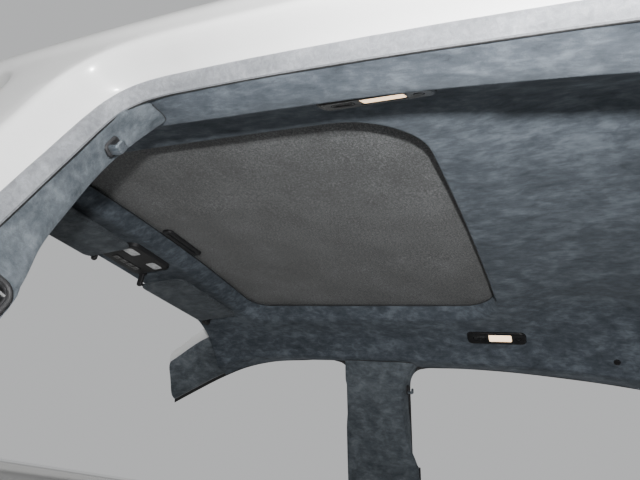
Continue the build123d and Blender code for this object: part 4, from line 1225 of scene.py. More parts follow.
holes_ = []
for fin, fout, sgn in doors:
    holes_.append([(y, s_clip(y, z)) for y, z in grown(fout, 8.0, sgn)])
qw_out = qw_loop(6.0)
holes_.append([(y, s_clip(y, z)) for y, z in qw_out])
bottom = [(y, s_clip(y, -34.0)) for y in Y_S]
top_l = [(y, 0.0) for y in Y_S]
outer_loop = bottom + list(reversed(top_l))
grid = np.array([(y, s_) for y in Y_S[1:-1] for s_ in S_S[1:] if s_ < s_clip(y, -34.0) - 5])
ok_ = np.ones(len(grid), bool)
for h in holes_:
    ok_ &= ~inside(h, grid) & ~near_loop(h, grid, 4.5)
ids = side.flat(outer_loop, holes_, [tuple(q) for q in grid[ok_]], side_point)
top_ids = ids[0][len(bottom):]
# rebates: rounded over the skin's edge, down the wall, round into the flange, and on to the inner skin
inner_holes = []
for (fin, fout, sgn), edge in zip(doors, ids[1:3]):
    g8 = grown(fout, 8.0, sgn)
    rows = []
    for w_ in (0.35, 0.7, 0.95):
        row = []
        for (yg, zg), (yo, zo), (yf, zf_) in zip(g8, fout, fin):
            a = side_point(yg, s_clip(yg, zg))
            c = side_point(yo, s_clip(yo, zo))
            f_ = Vector((flange_x(yf, zf_) + 3, yf, zf_))
            e = c + (f_ - c).normalized() * 9.0
            row.append(a * (1 - w_) ** 2 + c * (2 * w_ * (1 - w_)) + e * w_ ** 2)
        rows.append(row)
    for t in (0.30, 0.5, 0.68, 0.82, 0.92, 0.97, 1.0):
        row = []
        for (yo, zo), (yf, zf_) in zip(fout, fin):
            c = side_point(yo, s_clip(yo, zo))
            f_ = Vector((flange_x(yf, zf_) + 3, yf, zf_))
            q = c.lerp(f_, t)
            # the wall draws in to a flat next to the flange
            q.x -= 9.0 * math.sin(math.pi * min(1.0, max(0.0, (t - 0.3) / 0.7))) * 0.8
            row.append(q)
        rows.append(row)
    for d_ in (-1.0, -4.0, -12.0):
        rows.append([Vector((flange_x(yf, zf_) + d_, yf, zf_)) for yf, zf_ in fin])
    prev = edge
    for r in rows:
        cur = side.pts(r)
        side.bridge(prev, cur)
        prev = cur
    inner_holes.append((fin, prev))
# quarter window: turned edge and tunnel
q_prev = ids[3]
for grow, inset in ((3.0, 0.6), (1.0, 2.4), (0.2, 5.0), (0.0, 12.0), (0.0, 24.0), (3.0, 40.0)):
    row = [Vector((outer_x(y, z) - inset, y, z)) for y, z in qw_loop(grow)]
    cur = side.pts(row)
    side.bridge(q_prev, cur, closed=True)
    q_prev = cur
# inner skin
Z_IN = spread(-34, 640, 20)
top_in = [(y, SCOL[1](y) - 40 * SCOL[2](y)) for y in Y_S]
bot_in = [(y, -34.0) for y in Y_S]
hl = [[(y, z) for y, z in fin] for fin, _ in inner_holes] + [qw_loop(6.0)]
grid = np.array([(y, z) for y in Y_S[1:-1] for z in Z_IN[1:] if z < SCOL[1](y) - 40 * SCOL[2](y) - 8])
ok_ = np.ones(len(grid), bool)
for h in hl:
    ok_ &= ~inside(h, grid) & ~near_loop(h, grid, 5)
iids = side.flat(bot_in + list(reversed(top_in)), hl, [tuple(q) for q in grid[ok_]], lambda y, z: Vector((inner_x(y, z), y, z)), flip=True)
for (fin, prev), h in zip(inner_holes, iids[1:3]):
    side.bridge(prev, h)
side.bridge(q_prev, iids[3], closed=True)
side.bridge(top_ids, iids[0][len(bot_in):])
bm_ = side.bm()
weld(bm_, 0.05)
bmesh.ops.dissolve_degenerate(bm_, dist=1e-6, edges=bm_.edges)
bmesh.ops.recalc_face_normals(bm_, faces=bm_.faces)
for pt, no in (((0, 0, 0), (0, 0, -1)), ((0, -1240, 0), (0, -1, 0)), ((0, 1240, 0), (0, 1, 0)), ((0, 1240, 440), (0, 260, 75))):
    cut(bm_, pt, no)
if len([1 for f in bm_.faces if f.calc_center_median().x > 0.9 and f.normal.x > 0]) < 10:
    bmesh.ops.reverse_faces(bm_, faces=bm_.faces)
shell_bm(bm_, 1.4)
pair("side_body", bm_, ["body_paint"], "roof", "body_paint", "side_frame", angle=50)


# ==================================================== shared form makers
def rr(hx, hy, r, n=7, m_=3):
    """Closed outline of a rounded rectangle centred on the origin."""
    r = max(0.05, min(r, hx - 0.02, hy - 0.02))
    pts = []
    for cx, cy, a0 in ((hx - r, hy - r, 0), (-(hx - r), hy - r, 90), (-(hx - r), -(hy - r), 180), (hx - r, -(hy - r), 270)):
        ring = [(cx + r * math.cos(math.radians(a0 + 90 * k / n)), cy + r * math.sin(math.radians(a0 + 90 * k / n))) for k in range(n + 1)]
        if pts:
            a, b = pts[-1], ring[0]
            pts += [(a[0] + (b[0] - a[0]) * k / m_, a[1] + (b[1] - a[1]) * k / m_) for k in range(1, m_)]
        pts += ring
    a, b = pts[-1], pts[0]
    pts += [(a[0] + (b[0] - a[0]) * k / m_, a[1] + (b[1] - a[1]) * k / m_) for k in range(1, m_)]
    return pts


def tray(b, place, hx, hy, r, prof, mat=0, cu=0.0, cv=0.0, cap_last=True, cap_first=False, dome=0.0, start=None):
    """Rings of a rounded rectangle (grow, height[, material]) carried by place(u, v, h); the ends may be closed."""
    prev, first = start, None
    last_mat = mat
    for q in prof:
        g, h = q[0], q[1]
        mt = q[2] if len(q) > 2 else mat
        cur = b.pts([place(cu + u, cv + v, h) for u, v in rr(hx + g, hy + g, r + g)])
        if prev is not None:
            b.bridge(prev, cur, closed=True, mat=mt)
        if first is None:
            first = cur
        prev, last_mat = cur, mt
    g, h = prof[-1][0], prof[-1][1]
    if cap_last:
        for k, s_ in enumerate((0.66, 0.33)):
            cur = b.pts([place(cu + u * s_, cv + v * s_, h + dome * (1 - s_)) for u, v in rr(hx + g, hy + g, r + g)])
            b.bridge(prev, cur, closed=True, mat=last_mat)
            prev = cur
        b.fan(prev, last_mat)
    if cap_first:
        b.fan(first, mat)
    return first, prev


def local_frame(o, u, v, w):
    o, u, v, w = Vector(o), Vector(u), Vector(v), Vector(w)
    return lambda a, b_, h: o + u * a + v * b_ + w * h


def chaikin(pts, closed=True, times=2, keep_=0.25):
    for _ in range(times):
        out = []
        n = len(pts)
        for i in range(n if closed else n - 1):
            a, b = pts[i], pts[(i + 1) % n]
            out.append(tuple(x + (y - x) * keep_ for x, y in zip(a, b)))
            out.append(tuple(x + (y - x) * (1 - keep_) for x, y in zip(a, b)))
        pts = out if closed else [pts[0]] + out + [pts[-1]]
    return pts


def tube(b, pts, radius, sides=10, mat=0, caps=True, squash=1.0, ref=Vector((0, 0, 1))):
    """Round bar through space points."""
    rows = []
    n = len(pts)
    for i, p in enumerate(pts):
        t = (Vector(pts[min(i + 1, n - 1)]) - Vector(pts[max(i - 1, 0)])).normalized()
        s_ = t.cross(ref)
        if s_.length < 1e-3:
            s_ = t.cross(Vector((1, 0, 0)))
        s_.normalize()
        q = s_.cross(t)
        r = radius(i / (n - 1)) if callable(radius) else radius
        rows.append([Vector(p) + (s_ * math.cos(a) + q * (math.sin(a) * squash)) * r for a in (math.tau * k / sides for k in range(sides))])
    b.loft(rows, closed=True, caps=caps, mat=mat)


def stitches(b, pts, normal, length=5.0, gap=3.2, radius=0.42, lift=0.25, mat=0):
    """A sewn line along space points: short threads, each a tapered bar that dives at its ends."""
    run = [0.0]
    for p, q in zip(pts, pts[1:]):
        run.append(run[-1] + (Vector(q) - Vector(p)).length)
    cx, cy, cz = (Curve(run, [p[k] for p in pts]) for k in range(3))
    t = gap
    while t + length < run[-1]:
        line = []
        for k in range(5):
            u = t + length * k / 4
            q = Vector((cx(u), cy(u), cz(u)))
            line.append(q + normal(q) * (lift * math.sin(math.pi * k / 4) - 0.12))
        tube(b, line, lambda s_: radius * (0.55 + 0.45 * math.sin(math.pi * s_)), sides=6, mat=mat)
        t += length + gap


# ========================================================= pillar trims
UP = Vector((-TUMBLE, 0, 1)).normalized()
IN = Vector((-1, 0, -TUMBLE)).normalized()
B_MID = (B_FRONT + B_REAR) / 2
BZ = [r[0] for r in B_TRIM]
B_EDGE, B_CORNER, B_DEPTH = (Curve(BZ, [r[k] for r in B_TRIM]) for k in (1, 2, 3))
VENT_Z, VENT_L, VENT_W = 128.0, 136.0, 46.0
vent_n = Vector((0.30, 1.0, 0.0))
vent_n = (vent_n - UP * vent_n.dot(UP)).normalized()
vent_w = vent_n.cross(UP).normalized()
VENT_O = Vector((flange_x(-289, VENT_Z) - 38.0, -286.5, VENT_Z))
HOOK_Z, HOOK_Y, HOOK_INSET = 414.0, -316.6, 38.0


def b_ring(z):
    ye, yc, d = B_EDGE(z), B_CORNER(z), B_DEPTH(z)
    rear = [(ye, 12.5), ((ye + yc) / 2, 32.0), (yc, d - 13), (yc - 4.2, d - 3.6), (yc - 18, d), (B_MID, d + 2)]
    fe, fc = 2 * B_MID - min(ye, -314.0), 2 * B_MID - max(-322.0, min(yc, -318.0))
    front = [(fc + 18, d), (fc + 4.2, d - 3.6), (fc, d - 13), ((fe + fc) / 2, 32.0), (fe, 12.5)]
    return rear + front


_r = b_ring(310.0)
RP = [0.0]
for a_, b_ in zip(_r, _r[1:]):
    RP.append(RP[-1] + math.hypot(b_[0] - a_[0], b_[1] - a_[1]))


def b_point(r, z, cy, ci):
    y, i_ = cy(r), ci(r)
    q = Vector((flange_x(y, z) - i_, y, z))
    d = q - VENT_O
    a, w_, h = abs(d.dot(UP)) - (VENT_L / 2 - 12), abs(d.dot(vent_w)) - (VENT_W / 2 - 12), d.dot(vent_n)
    e = math.hypot(max(a, 0), max(w_, 0)) - 8
    if e < 3 and abs(h) < 26:
        t = min(1.0, (3 - e) / 5.0)
        q -= vent_n * (h + 13.0) * t * t * (3 - 2 * t)
    elif e < 16 and abs(h) < 12:
        t = (16 - e) / 13.0
        q -= vent_n * h * t * t * (3 - 2 * t)
    return q + IN * (0.3 * noise.noise(Vector((y * 0.02, z * 0.015, 1.3))))


R_S = spread(0, RP[1], 6) + spread(RP[1], RP[2], 5)[1:] + spread(RP[2], RP[4], 2.4)[1:] + spread(RP[4], RP[6], 12)[1:] + spread(RP[6], RP[8], 2.4)[1:] + spread(RP[8], RP[10], 6)[1:]
bt = Build()
rows = []
for z in spread(-6, 487, 6):
    ring = b_ring(z)
    cy, ci = Curve(RP, [q[0] for q in ring]), Curve(RP, [q[1] for q in ring])
    row = [b_point(r, z, cy, ci) for r in R_S]
    # turned edges go in behind the seals
    row = [Vector((row[0].x + 6, row[0].y - 1.5, row[0].z))] + row + [Vector((row[-1].x + 6, row[-1].y + 1.5, row[-1].z))]
    rows.append(row)
ring = b_ring(487.0)
cy, ci = Curve(RP, [q[0] for q in ring]), Curve(RP, [q[1] for q in ring])
for dz, d_in in ((0.9, 0.35), (1.5, 1.2), (1.7, 2.6), (1.5, 5.0)):
    row = []
    for r in R_S:
        q = b_point(r, 487.0, cy, ci)
        row.append(q - IN * d_in + UP * dz)
    rows.append([Vector((row[0].x + 6, row[0].y - 1.5, row[0].z))] + row + [Vector((row[-1].x + 6, row[-1].y + 1.5, row[-1].z))])
bt.loft(rows)
bm_ = bt.bm()
bmesh.ops.recalc_face_normals(bm_, faces=bm_.faces)
if sum(f.normal.x * f.calc_area() for f in bm_.faces) > 0:
    bmesh.ops.reverse_faces(bm_, faces=bm_.faces)
cut(bm_, (0, 0, 0), (0, 0, -1))
pair("trim_b_pillar", shell_bm(bm_, 2.6), ["trim_suede"], "roof", "trim_suede", "b_pillar_trim", angle=55)
# dark joint between the trim's end and the lining
jt = Build()
joint = [b_point(r, 487.0, cy, ci) - IN * 1.4 + UP * 2.4 for r in R_S]
tube(jt, joint[2:-2], lambda s_: 1.3, sides=8)
jt_bm = jt.bm()
piece("trim_joints", merged(jt_bm, mirrored(jt_bm)), ["edge_black"], "roof", "edge_black")

# vent: black surround, a row of fins, thumb wheel
vt = Build()
vp = local_frame(VENT_O, UP, vent_w, vent_n)
HL, HW = VENT_L / 2, VENT_W / 2
tray(vt, vp, HL, HW, 19, [(-1.6, -1.0), (-0.4, 0.6), (0.0, 2.0), (-0.9, 3.7), (-2.6, 4.7), (-4.6, 4.5), (-6.0, 3.4, 0), (-6.6, 2.4, 0), (-7.4, 2.6, 0), (-8.4, 1.8, 0),
                          (-8.9, -0.5, 0), (-9.2, -8.0, 0), (-9.6, -10.5, 0)], cap_last=True)
tray(vt, vp, 3.2, 7.0, 2.4, [(0, -3), (0, 1.6), (-0.8, 2.5)], mat=0, cu=44.2, cap_last=True)
vent_bm = vt.bm()
pair("vent_surround", vent_bm, ["edge_black", "vent_chrome"], "roof", "edge_black", "b_pillar_vent", angle=45)
vf = Build()
for k in range(7):
    u0 = (VENT_L - 30) * (k / 6 - 0.5)
    ang = math.radians(-28)
    rows = []
    for w_ in (-HW + 9.8, -HW + 11.5, 0, HW - 11.5, HW - 9.8):
        sec = []
        for a in (math.tau * j / 14 for j in range(14)):
            su, sh_ = 1.15 * math.cos(a), 4.6 * math.sin(a)
            fl = 0.85 if abs(w_) > HW - 10.5 else 1.0
            su *= fl
            uu = su * math.cos(ang) - sh_ * math.sin(ang)
            hh = su * math.sin(ang) + sh_ * math.cos(ang)
            sec.append(vp(u0 + uu, w_, -1.5 + hh))
        rows.append(sec)
    vf.loft(rows, closed=True, caps=True)
fin_bm = vf.bm()
piece("vent_blades", merged(fin_bm, mirrored(fin_bm)), ["vent_chrome"], "roof", "vent_chrome", ["vent_fins"], angle=50)

# coat hook: folded tab that stands off the trim's rear face, square end, and behind it a black pad that paints the
# shade of the recess there
hk = Build()
hook_n = (IN * 0.05 + Vector((0, 1, 0))).normalized()
hook_v = hook_n.cross(UP).normalized()
hp = local_frame(Vector((flange_x(HOOK_Y, HOOK_Z) - HOOK_INSET, HOOK_Y, HOOK_Z)), UP, hook_v, hook_n)
# black pad under the tab: painted shade for the recess behind the hook
tray(hk, hp, 15.0, 10.0, 6.5, [(-1.0, 0.2), (0.0, 1.2), (-0.4, 2.6), (-1.8, 3.6), (-4.2, 3.7), (-5.2, 2.6), (-5.6, 0.6)], mat=1)
arm = []
for t in [k / 10 for k in range(11)]:
    a = math.radians(90 * t)
    arm.append((-7.0 - 1.5 * math.sin(a), 2.0 + 14.5 * t))
rows = []
for (uu, hh), t in zip(arm, [k / 10 for k in range(11)]):
    rows.append([hp(uu + a_, b__, hh) for a_, b__ in rr(3.4, 6.6 + 0.4 * t, 2.4, 5, 2)])
hk.loft(rows, closed=True, caps=True, mat=0)
tray(hk, hp, 8.5, 7.5, 4.5, [(-1.4, 14.8), (-0.2, 15.6), (0.0, 17.0), (-0.5, 18.6), (-1.9, 19.4)], mat=0, cu=-3.0, cap_last=True, cap_first=True)
hook_bm = hk.bm()
piece("coat_tabs", merged(hook_bm, mirrored(hook_bm)), ["hook_metal", "edge_black"], "roof", "hook_metal", ["coat_hooks"], angle=42)

# C pillar and quarter trim
FL = loops_of(REAR_FLANGE, REAR_JAMB, 4.0)[0]
c_front = [(y, z) for y, z in grown(FL, 9.0, -1) if y > 560 and z < 430]
c_front = sorted(c_front, key=lambda q: q[1])
CF = Curve([q[1] for q in c_front][::3], [q[0] for q in c_front][::3])
C_IN = Curve([0, 8, 20, 36, 90], [13, 29, 40, 45, 48], d1=0)


def c_top(y):
    return LCOL[6](y) - 9.0 if y < 1132 else 353.0 - (y - 1132.0) * 0.1


def c_inset(y, z):
    v = C_IN(min(90.0, max(0.0, y - CF(min(z, 395.0)))))
    if y > 1100:
        v -= 18.0 * ((y - 1100) / 126.0) ** 1.6
    return v


def c_point(y, z):
    return Vector((flange_x(y, z) - c_inset(y, z) + 0.4 * noise.noise(Vector((y * .012, z * .012, 5))), y, z))


ct = Build()
Z_F = spread(-6, 384, 12)
front_edge = [(CF(z), z) for z in Z_F]
Y_T = spread(CF(384.0) + 3, 1226, 12)
top_edge = [(y, c_top(y)) for y in Y_T]
Z_R = spread(-6, c_top(1226), 12)
outer_loop = front_edge + top_edge + [(1226.0, z) for z in reversed(Z_R[:-1])] + [(y, -6.0) for y in reversed(spread(CF(-6.0), 1226, 14)[1:-1])]
qh = qw_loop(15.0)
grid = np.array([(CF(min(z, 395)) + t, z) for z in spread(0, 430, 9) for t in [4, 8, 13, 19, 26, 36, 48] + [60 + 13 * k for k in range(48)]])
poly = [tuple(p) for p in outer_loop]
ok_ = inside(poly, grid) & ~near_loop(poly, grid, 3.5) & ~inside(qh, grid) & ~near_loop(qh, grid, 4.5)
ids = ct.flat(outer_loop, [qh], [tuple(q) for q in grid[ok_]], c_point)
prev = ids[1]
for grow, out_ in ((11.0, 1.0), (7.5, 3.6), (5.0, 8.5), (3.8, 16.0), (3.4, 38.0)):
    cur = ct.pts([Vector((c_point(y, z).x + out_, y, z)) for y, z in qw_loop(grow)])
    ct.bridge(prev, cur, closed=True)
    prev = cur
bm_ = ct.bm()
bmesh.ops.recalc_face_normals(bm_, faces=bm_.faces)
if sum(f.normal.x * f.calc_area() for f in bm_.faces if abs(f.normal.x) > .5) > 0:
    bmesh.ops.reverse_faces(bm_, faces=bm_.faces)
cut(bm_, (0, 0, 0), (0, 0, -1))
pair("trim_c_pillar", shell_bm(bm_, 2.6), ["trim_suede"], "roof", "trim_suede", "c_pillar_trim", angle=55)

# A pillar trim over the stub
FZ = Curve([-1262.0, -1150.0, -1040.0, -930.0], [333.0, 389.0, 441.0, 483.0])
at = Build()
rows = []
for y in spread(-1236, -1018, 12):
    xd, zd, k = (c(y) for c in SCOL)
    zfl = FZ(y)
    p8 = (xd + 12, zd - 62 * k)
    p7 = (flange_x(y, zd - 148 * k) - 22, zd - 148 * k)
    face = [(p8[0] - 5, p8[1] + 6), (p8[0] - 9, p8[1] + 4), (p8[0] - 11, p8[1] - 16), (p7[0] - 14, p7[1] - 4),
            (flange_x(y, zfl) - 34, zfl - 4), (flange_x(y, zfl) - 12, zfl - 16), (flange_x(y, zfl) - 8, zfl - 17)]
    face = chaikin(face, closed=False, times=3)
    rows.append([(x, y, z) for x, z in face])
at.loft(rows)
bm_ = at.bm()
bmesh.ops.recalc_face_normals(bm_, faces=bm_.faces)
if sum(f.normal.x * f.calc_area() for f in bm_.faces) > 0:
    bmesh.ops.reverse_faces(bm_, faces=bm_.faces)
pair("trim_a_pillar", shell_bm(bm_, 2.4), ["trim_suede"], "roof", "trim_suede", "a_pillar_trim", angle=55)

# ========================================================= reading lamps
lp_ = local_frame(LAMP, lamp_u, (0, 1, 0), lamp_n)
lb = Build()
edge_rows = [(0.8, 2.5), (0.8, -0.4), (0.4, -2.2), (-0.8, -4.2), (-2.6, -5.15)]
prev = None
for g_, h_ in edge_rows:
    cur = lb.pts([lp_(u, v, h_) for u, v in rr(23 + g_, 83 + g_, 14 + g_, 8, 8)])
    if prev:
        lb.bridge(prev, cur, closed=True)
    prev = cur


def face_place(u, v):
    # the face is dished a little between its ends
    return lp_(u, v, -5.2 + 0.9 * max(0.0, 1 - (u / 20.0) ** 2) * max(0.0, 1 - (v / 80.0) ** 4))


face_outer = rr(20.2, 80.2, 11.2, 8, 8)
lens_o = [(u, v + 11.0) for u, v in rr(14.6, 33.1, 4.6, 6, 4)]
pill_o = [(u, v - 48.0) for u, v in rr(9.6, 17.6, 8.6, 6, 3)]
dot_o = [(u, v + 62.0) for u, v in rr(7.9, 7.9, 7.8, 6, 2)]
gridp = np.array([(u, v) for u in spread(-19, 19, 4) for v in spread(-79, 79, 5)])
ok_ = inside(face_outer, gridp) & ~near_loop(face_outer, gridp, 1.6)
for h in (lens_o, pill_o, dot_o):
    ok_ &= ~inside(h, gridp) & ~near_loop(h, gridp, 1.4)
fid = lb.flat(face_outer, [lens_o, pill_o, dot_o], [tuple(q) for q in gridp[ok_]], face_place)
lb.bridge(prev, fid[0], closed=True)
for hole_, (hx_, hy_, r_, cv_), fidx in ((lens_o, (13.6, 32.1, 4.0, 11.0), fid[1]), (pill_o, (8.9, 16.9, 8.2, -48.0), fid[2]), (dot_o, (7.3, 7.3, 7.25, 62.0), fid[3])):
    n_, m2 = {11.0: (6, 4), -48.0: (6, 3), 62.0: (6, 2)}[cv_]
    prev = fidx
    for g_, h_ in ((0.5, -4.2), (0.1, -3.4), (0.0, -0.5)):
        cur = lb.pts([lp_(u, v + cv_, h_) for u, v in rr(hx_ + g_, hy_ + g_, r_ + g_, n_, m2)])
        lb.bridge(prev, cur, closed=True)
        prev = cur
    lb.fan(prev)
pair("lamp_surround", lb.bm(), ["gloss_black"], "roof", "gloss_black", "reading_lamp_bezel", angle=40)
ll = Build()
tray(ll, lp_, 13.1, 31.6, 3.6, [(0, 1.0), (0, -2.6), (-0.5, -3.4), (-1.5, -3.8)], cv=11.0, dome=-0.5)
pair("lamp_lens", ll.bm(), ["lamp_lens"], "roof", "lamp_lens", "reading_lamp_lens", angle=40)
ls = Build()
tray(ls, lp_, 8.6, 16.6, 7.6, [(0, 0.6), (0, -3.9), (-0.7, -4.7), (-2.0, -4.9), (-3.2, -4.3), (-4.2, -3.5)], cv=-48.0, dome=0.4)
tray(ls, lp_, 7.0, 7.0, 7.0, [(0, 0.6), (0, -3.9), (-0.6, -4.6), (-1.6, -4.9)], cv=62.0, dome=-0.4)
tray(ls, lp_, 1.6, 1.6, 1.6, [(0, -4.8, 1), (-0.3, -5.1, 1)], cv=62.0)
pair("lamp_switches", ls.bm(), ["gloss_black", "vent_chrome"], "roof", "gloss_black", "reading_lamp_switch", angle=40)

# small domed studs at the rear
st = Build()
sx_, sy_ = 600.0, 294.0
ta = math.radians(41)
sn = Vector((math.sin(ta), 0, math.cos(ta)))
su_ = Vector((math.cos(ta), 0, -math.sin(ta)))
sp = local_frame(Vector((sx_, sy_, lining_z(sx_, sy_))), su_, (0, 1, 0), sn)
tray(st, sp, 9, 9, 9, [(-0.4, 1.2), (0.0, -0.6), (-0.5, -2.0), (-1.6, -2.9), (-2.4, -3.0), (-2.9, -2.5), (-3.6, -2.3), (-4.6, -2.7)], dome=-0.5)
st_bm = st.bm()
piece("studs", merged(st_bm, mirrored(st_bm)), ["gloss_black"], "roof", "gloss_black", ["lining_studs"], angle=50)


# ====================================================== overhead console
CON_Y0, CON_Y1, CON_HX = -984.0, -856.0, 82.0
CON_L = [(-1012.0, 580.0), (-900.0, 597.0), (-800.0, 600.0)]


def lin3(y, rows_):
    for a, b in zip(rows_, rows_[1:]):
        if y <= b[0]:
            return a[1] + (b[1] - a[1]) * (y - a[0]) / (b[0] - a[0])
    return rows_[-1][1]


con_t = math.atan2(lin3(CON_Y1, CON_L) - lin3(CON_Y0, CON_L), CON_Y1 - CON_Y0)
CON_O = Vector((0, (CON_Y0 + CON_Y1) / 2, lin3((CON_Y0 + CON_Y1) / 2, CON_L)))
cp = local_frame(CON_O, (1, 0, 0), (0, math.cos(con_t), math.sin(con_t)), (0, -math.sin(con_t), math.cos(con_t)))
cb = Build()
prev = None
for g_, h_ in ((1.2, 3.5), (1.0, -0.6), (0.0, -2.2), (0.0, -7.5), (-0.9, -10.0), (-2.6, -12.0), (-5.2, -13.0)):
    cur = cb.pts([cp(u, v, h_) for u, v in rr(CON_HX + g_, 64 + g_, 22 + g_, 10, 10)])
    if prev:
        cb.bridge(prev, cur, closed=True)
    prev = cur
f_out = rr(CON_HX - 5.2, 64 - 5.2, 16.8, 10, 10)
h_lens = [[(u + sx * 48, v + 26) for u, v in rr(22.6, 16.6, 8.2, 6, 4)] for sx in (-1, 1)]
h_btn = [(u, v - 30) for u, v in rr(52.6, 11.6, 4.8, 6, 8)]
gridp = np.array([(u, v) for u in spread(-74, 74, 5) for v in spread(-56, 56, 5)])
ok_ = inside(f_out, gridp) & ~near_loop(f_out, gridp, 2)
for h in h_lens + [h_btn]:
    ok_ &= ~inside(h, gridp) & ~near_loop(h, gridp, 1.6)
fid = cb.flat(f_out, h_lens + [h_btn], [tuple(q) for q in gridp[ok_]], lambda u, v: cp(u, v, -13.0 - 0.8 * max(0, 1 - (u / 76) ** 2) * max(0, 1 - (v / 58) ** 2)))
cb.bridge(prev, fid[0], closed=True)
for (hx_, hy_, r_, cu_, cv_, n_, m2), fidx in zip(((22.0, 16.0, 7.8, -48, 26, 6, 4), (22.0, 16.0, 7.8, 48, 26, 6, 4), (52.0, 11.0, 4.4, 0, -30, 6, 8)), fid[1:]):
    prev = fidx
    for g_, h_ in ((0.2, -12.6), (0.0, -11.6), (0.0, -7.0)):
        cur = cb.pts([cp(u + cu_, v + cv_, h_) for u, v in rr(hx_ + g_, hy_ + g_, r_ + g_, n_, m2)])
        cb.bridge(prev, cur, closed=True)
        prev = cur
    cb.fan(prev)
piece("console_body", cb.bm(), ["edge_black"], "roof", "edge_black", ["overhead_console"], angle=45)
cl = Build()
for sx in (-1, 1):
    tray(cl, cp, 21.6, 15.6, 7.6, [(0, -7.5), (0, -11.4), (-0.5, -12.2), (-1.6, -12.6)], cu=sx * 48, cv=26, dome=-0.9)
piece("console_glass", cl.bm(), ["lens_clear"], "roof", "lens_clear", ["console_lenses"], angle=45)
cbn = Build()
for x in (-38.5, -12.9, 12.9, 38.5):
    tray(cbn, cp, 11.9, 10.2, 3.0, [(0, -8.4), (0, -13.4), (-0.5, -14.2), (-1.5, -14.6)], cu=x, cv=-30, dome=0.9)
    tube(cbn, [cp(x - 4.5, -25.5, -14.35), cp(x, -25.2, -14.4), cp(x + 4.5, -25.5, -14.35)], 0.45, 6, mat=1)
piece("console_keys", cbn.bm(), ["gloss_black", "vent_chrome"], "roof", "gloss_black", ["console_buttons"], angle=45)

# ============================================================ sun visors
VISOR_X0, VISOR_X1, VISOR_Y, VISOR_Z, VISOR_DEPTH, VISOR_T, ROD_R = 106.0, 430.0, -972.0, 553.0, 150.0, 16.0, 4.0
va = math.radians(7.0)
VO = Vector(((VISOR_X0 + VISOR_X1) / 2, VISOR_Y, VISOR_Z))
vpl = local_frame(VO, (1, 0, 0), (0, math.cos(va), math.sin(va)), (0, -math.sin(va), math.cos(va)))
VHX, VHY, VCY = (VISOR_X1 - VISOR_X0) / 2, VISOR_DEPTH / 2, VISOR_DEPTH / 2 - 12


def visor_half(b, sgn):
    """One face of the board: pulled in at the seam, crowned across, flatter at the rod's roll."""
    levels = [(-0.2, 0.05), (-0.9, 0.42), (-2.4, 0.62), (-5.0, 0.78), (-9.0, 0.88), (-15.0, 0.94)]
    outline = rr(VHX, VHY, 26, 9, 14)
    prev = None
    rows_ = []
    for g_, f_ in levels:
        row = []
        for u, v in rr(VHX + g_, VHY + g_, 26 + g_, 9, 14):
            row.append((u, v, f_))
        rows_.append(row)
    for s_ in (0.86, 0.68, 0.48, 0.26):
        row = [(u * s_ / 1.0, v * s_, 0.96 + 0.06 * (1 - s_)) for u, v in rr(VHX - 15, VHY - 15, 11, 9, 14)]
        rows_.append(row)
    ids_ = []
    for row in rows_:
        ps = []
        for u, v, f_ in row:
            roll = math.exp(-((v + VHY - 14) / 17.0) ** 2)
            t_ = 5.3 + 2.4 * roll + 0.5 * (1 - (u / VHX) ** 2)
            wob = 0.22 * noise.noise(Vector((u * 0.02, v * 0.02, 9.0 + sgn)))
            ps.append(vpl(u, v + VCY, sgn * (t_ * f_ + wob * f_)))
        ids_.append(b.pts(ps))
    for a, c in zip(ids_, ids_[1:]):
        b.bridge(a, c, closed=True)
    b.fan(ids_[-1])
    return ids_[0]


vb = Build()
r0 = visor_half(vb, -1)
r1 = visor_half(vb, 1)
vb.bridge(r0, r1, closed=True)
# piping round the edge
edge_line = [vpl(u, v + VCY, 0) for u, v in rr(VHX - 0.9, VHY - 0.9, 25.1, 9, 14)]
pr = []
n_e = len(edge_line)
for k in range(n_e):
    t = (edge_line[(k + 1) % n_e] - edge_line[k - 1]).normalized()
    w_ = Vector((0, -math.sin(va), math.cos(va)))
    s_ = t.cross(w_).normalized()
    pr.append([edge_line[k] + (s_ * math.cos(a) + w_ * math.sin(a)) * 0.95 for a in (math.tau * j / 8 for j in range(8))])
ids_ = [vb.pts(r) for r in pr]
for k in range(n_e):
    vb.bridge(ids_[k], ids_[(k + 1) % n_e], closed=True, mat=0)
# stitch line inside the seam on the lower face
sl = [vpl(u, v + VCY, -(5.3 + 2.4 * math.exp(-((v + VHY - 14) / 17.0) ** 2)) * 0.80) for u, v in rr(VHX - 5.6, VHY - 5.6, 20.4, 9, 14)]
stitches(vb, sl + sl[:1], lambda q: Vector((0, math.sin(va), -math.cos(va))), 4.6, 2.8, 0.38, 0.35, mat=1)
vis_bm = vb.bm()
bmesh.ops.recalc_face_normals(vis_bm, faces=vis_bm.faces)
for o_ in pair("visor_board", vis_bm, ["visor_cloth", "thread"], {"left": "visor_left", "right": "visor_right"}, "visor_cloth", "sun_visor", angle=60):
    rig.padded(o_, fill=0.9)

vr = Build()
X0_, X1_ = VISOR_X0 - 16.0, VISOR_X1 + 34.0
tube(vr, [(x, VISOR_Y, VISOR_Z) for x in spread(X0_ + 1, X1_ - 1, 20)], ROD_R - 0.05, 14, mat=0)


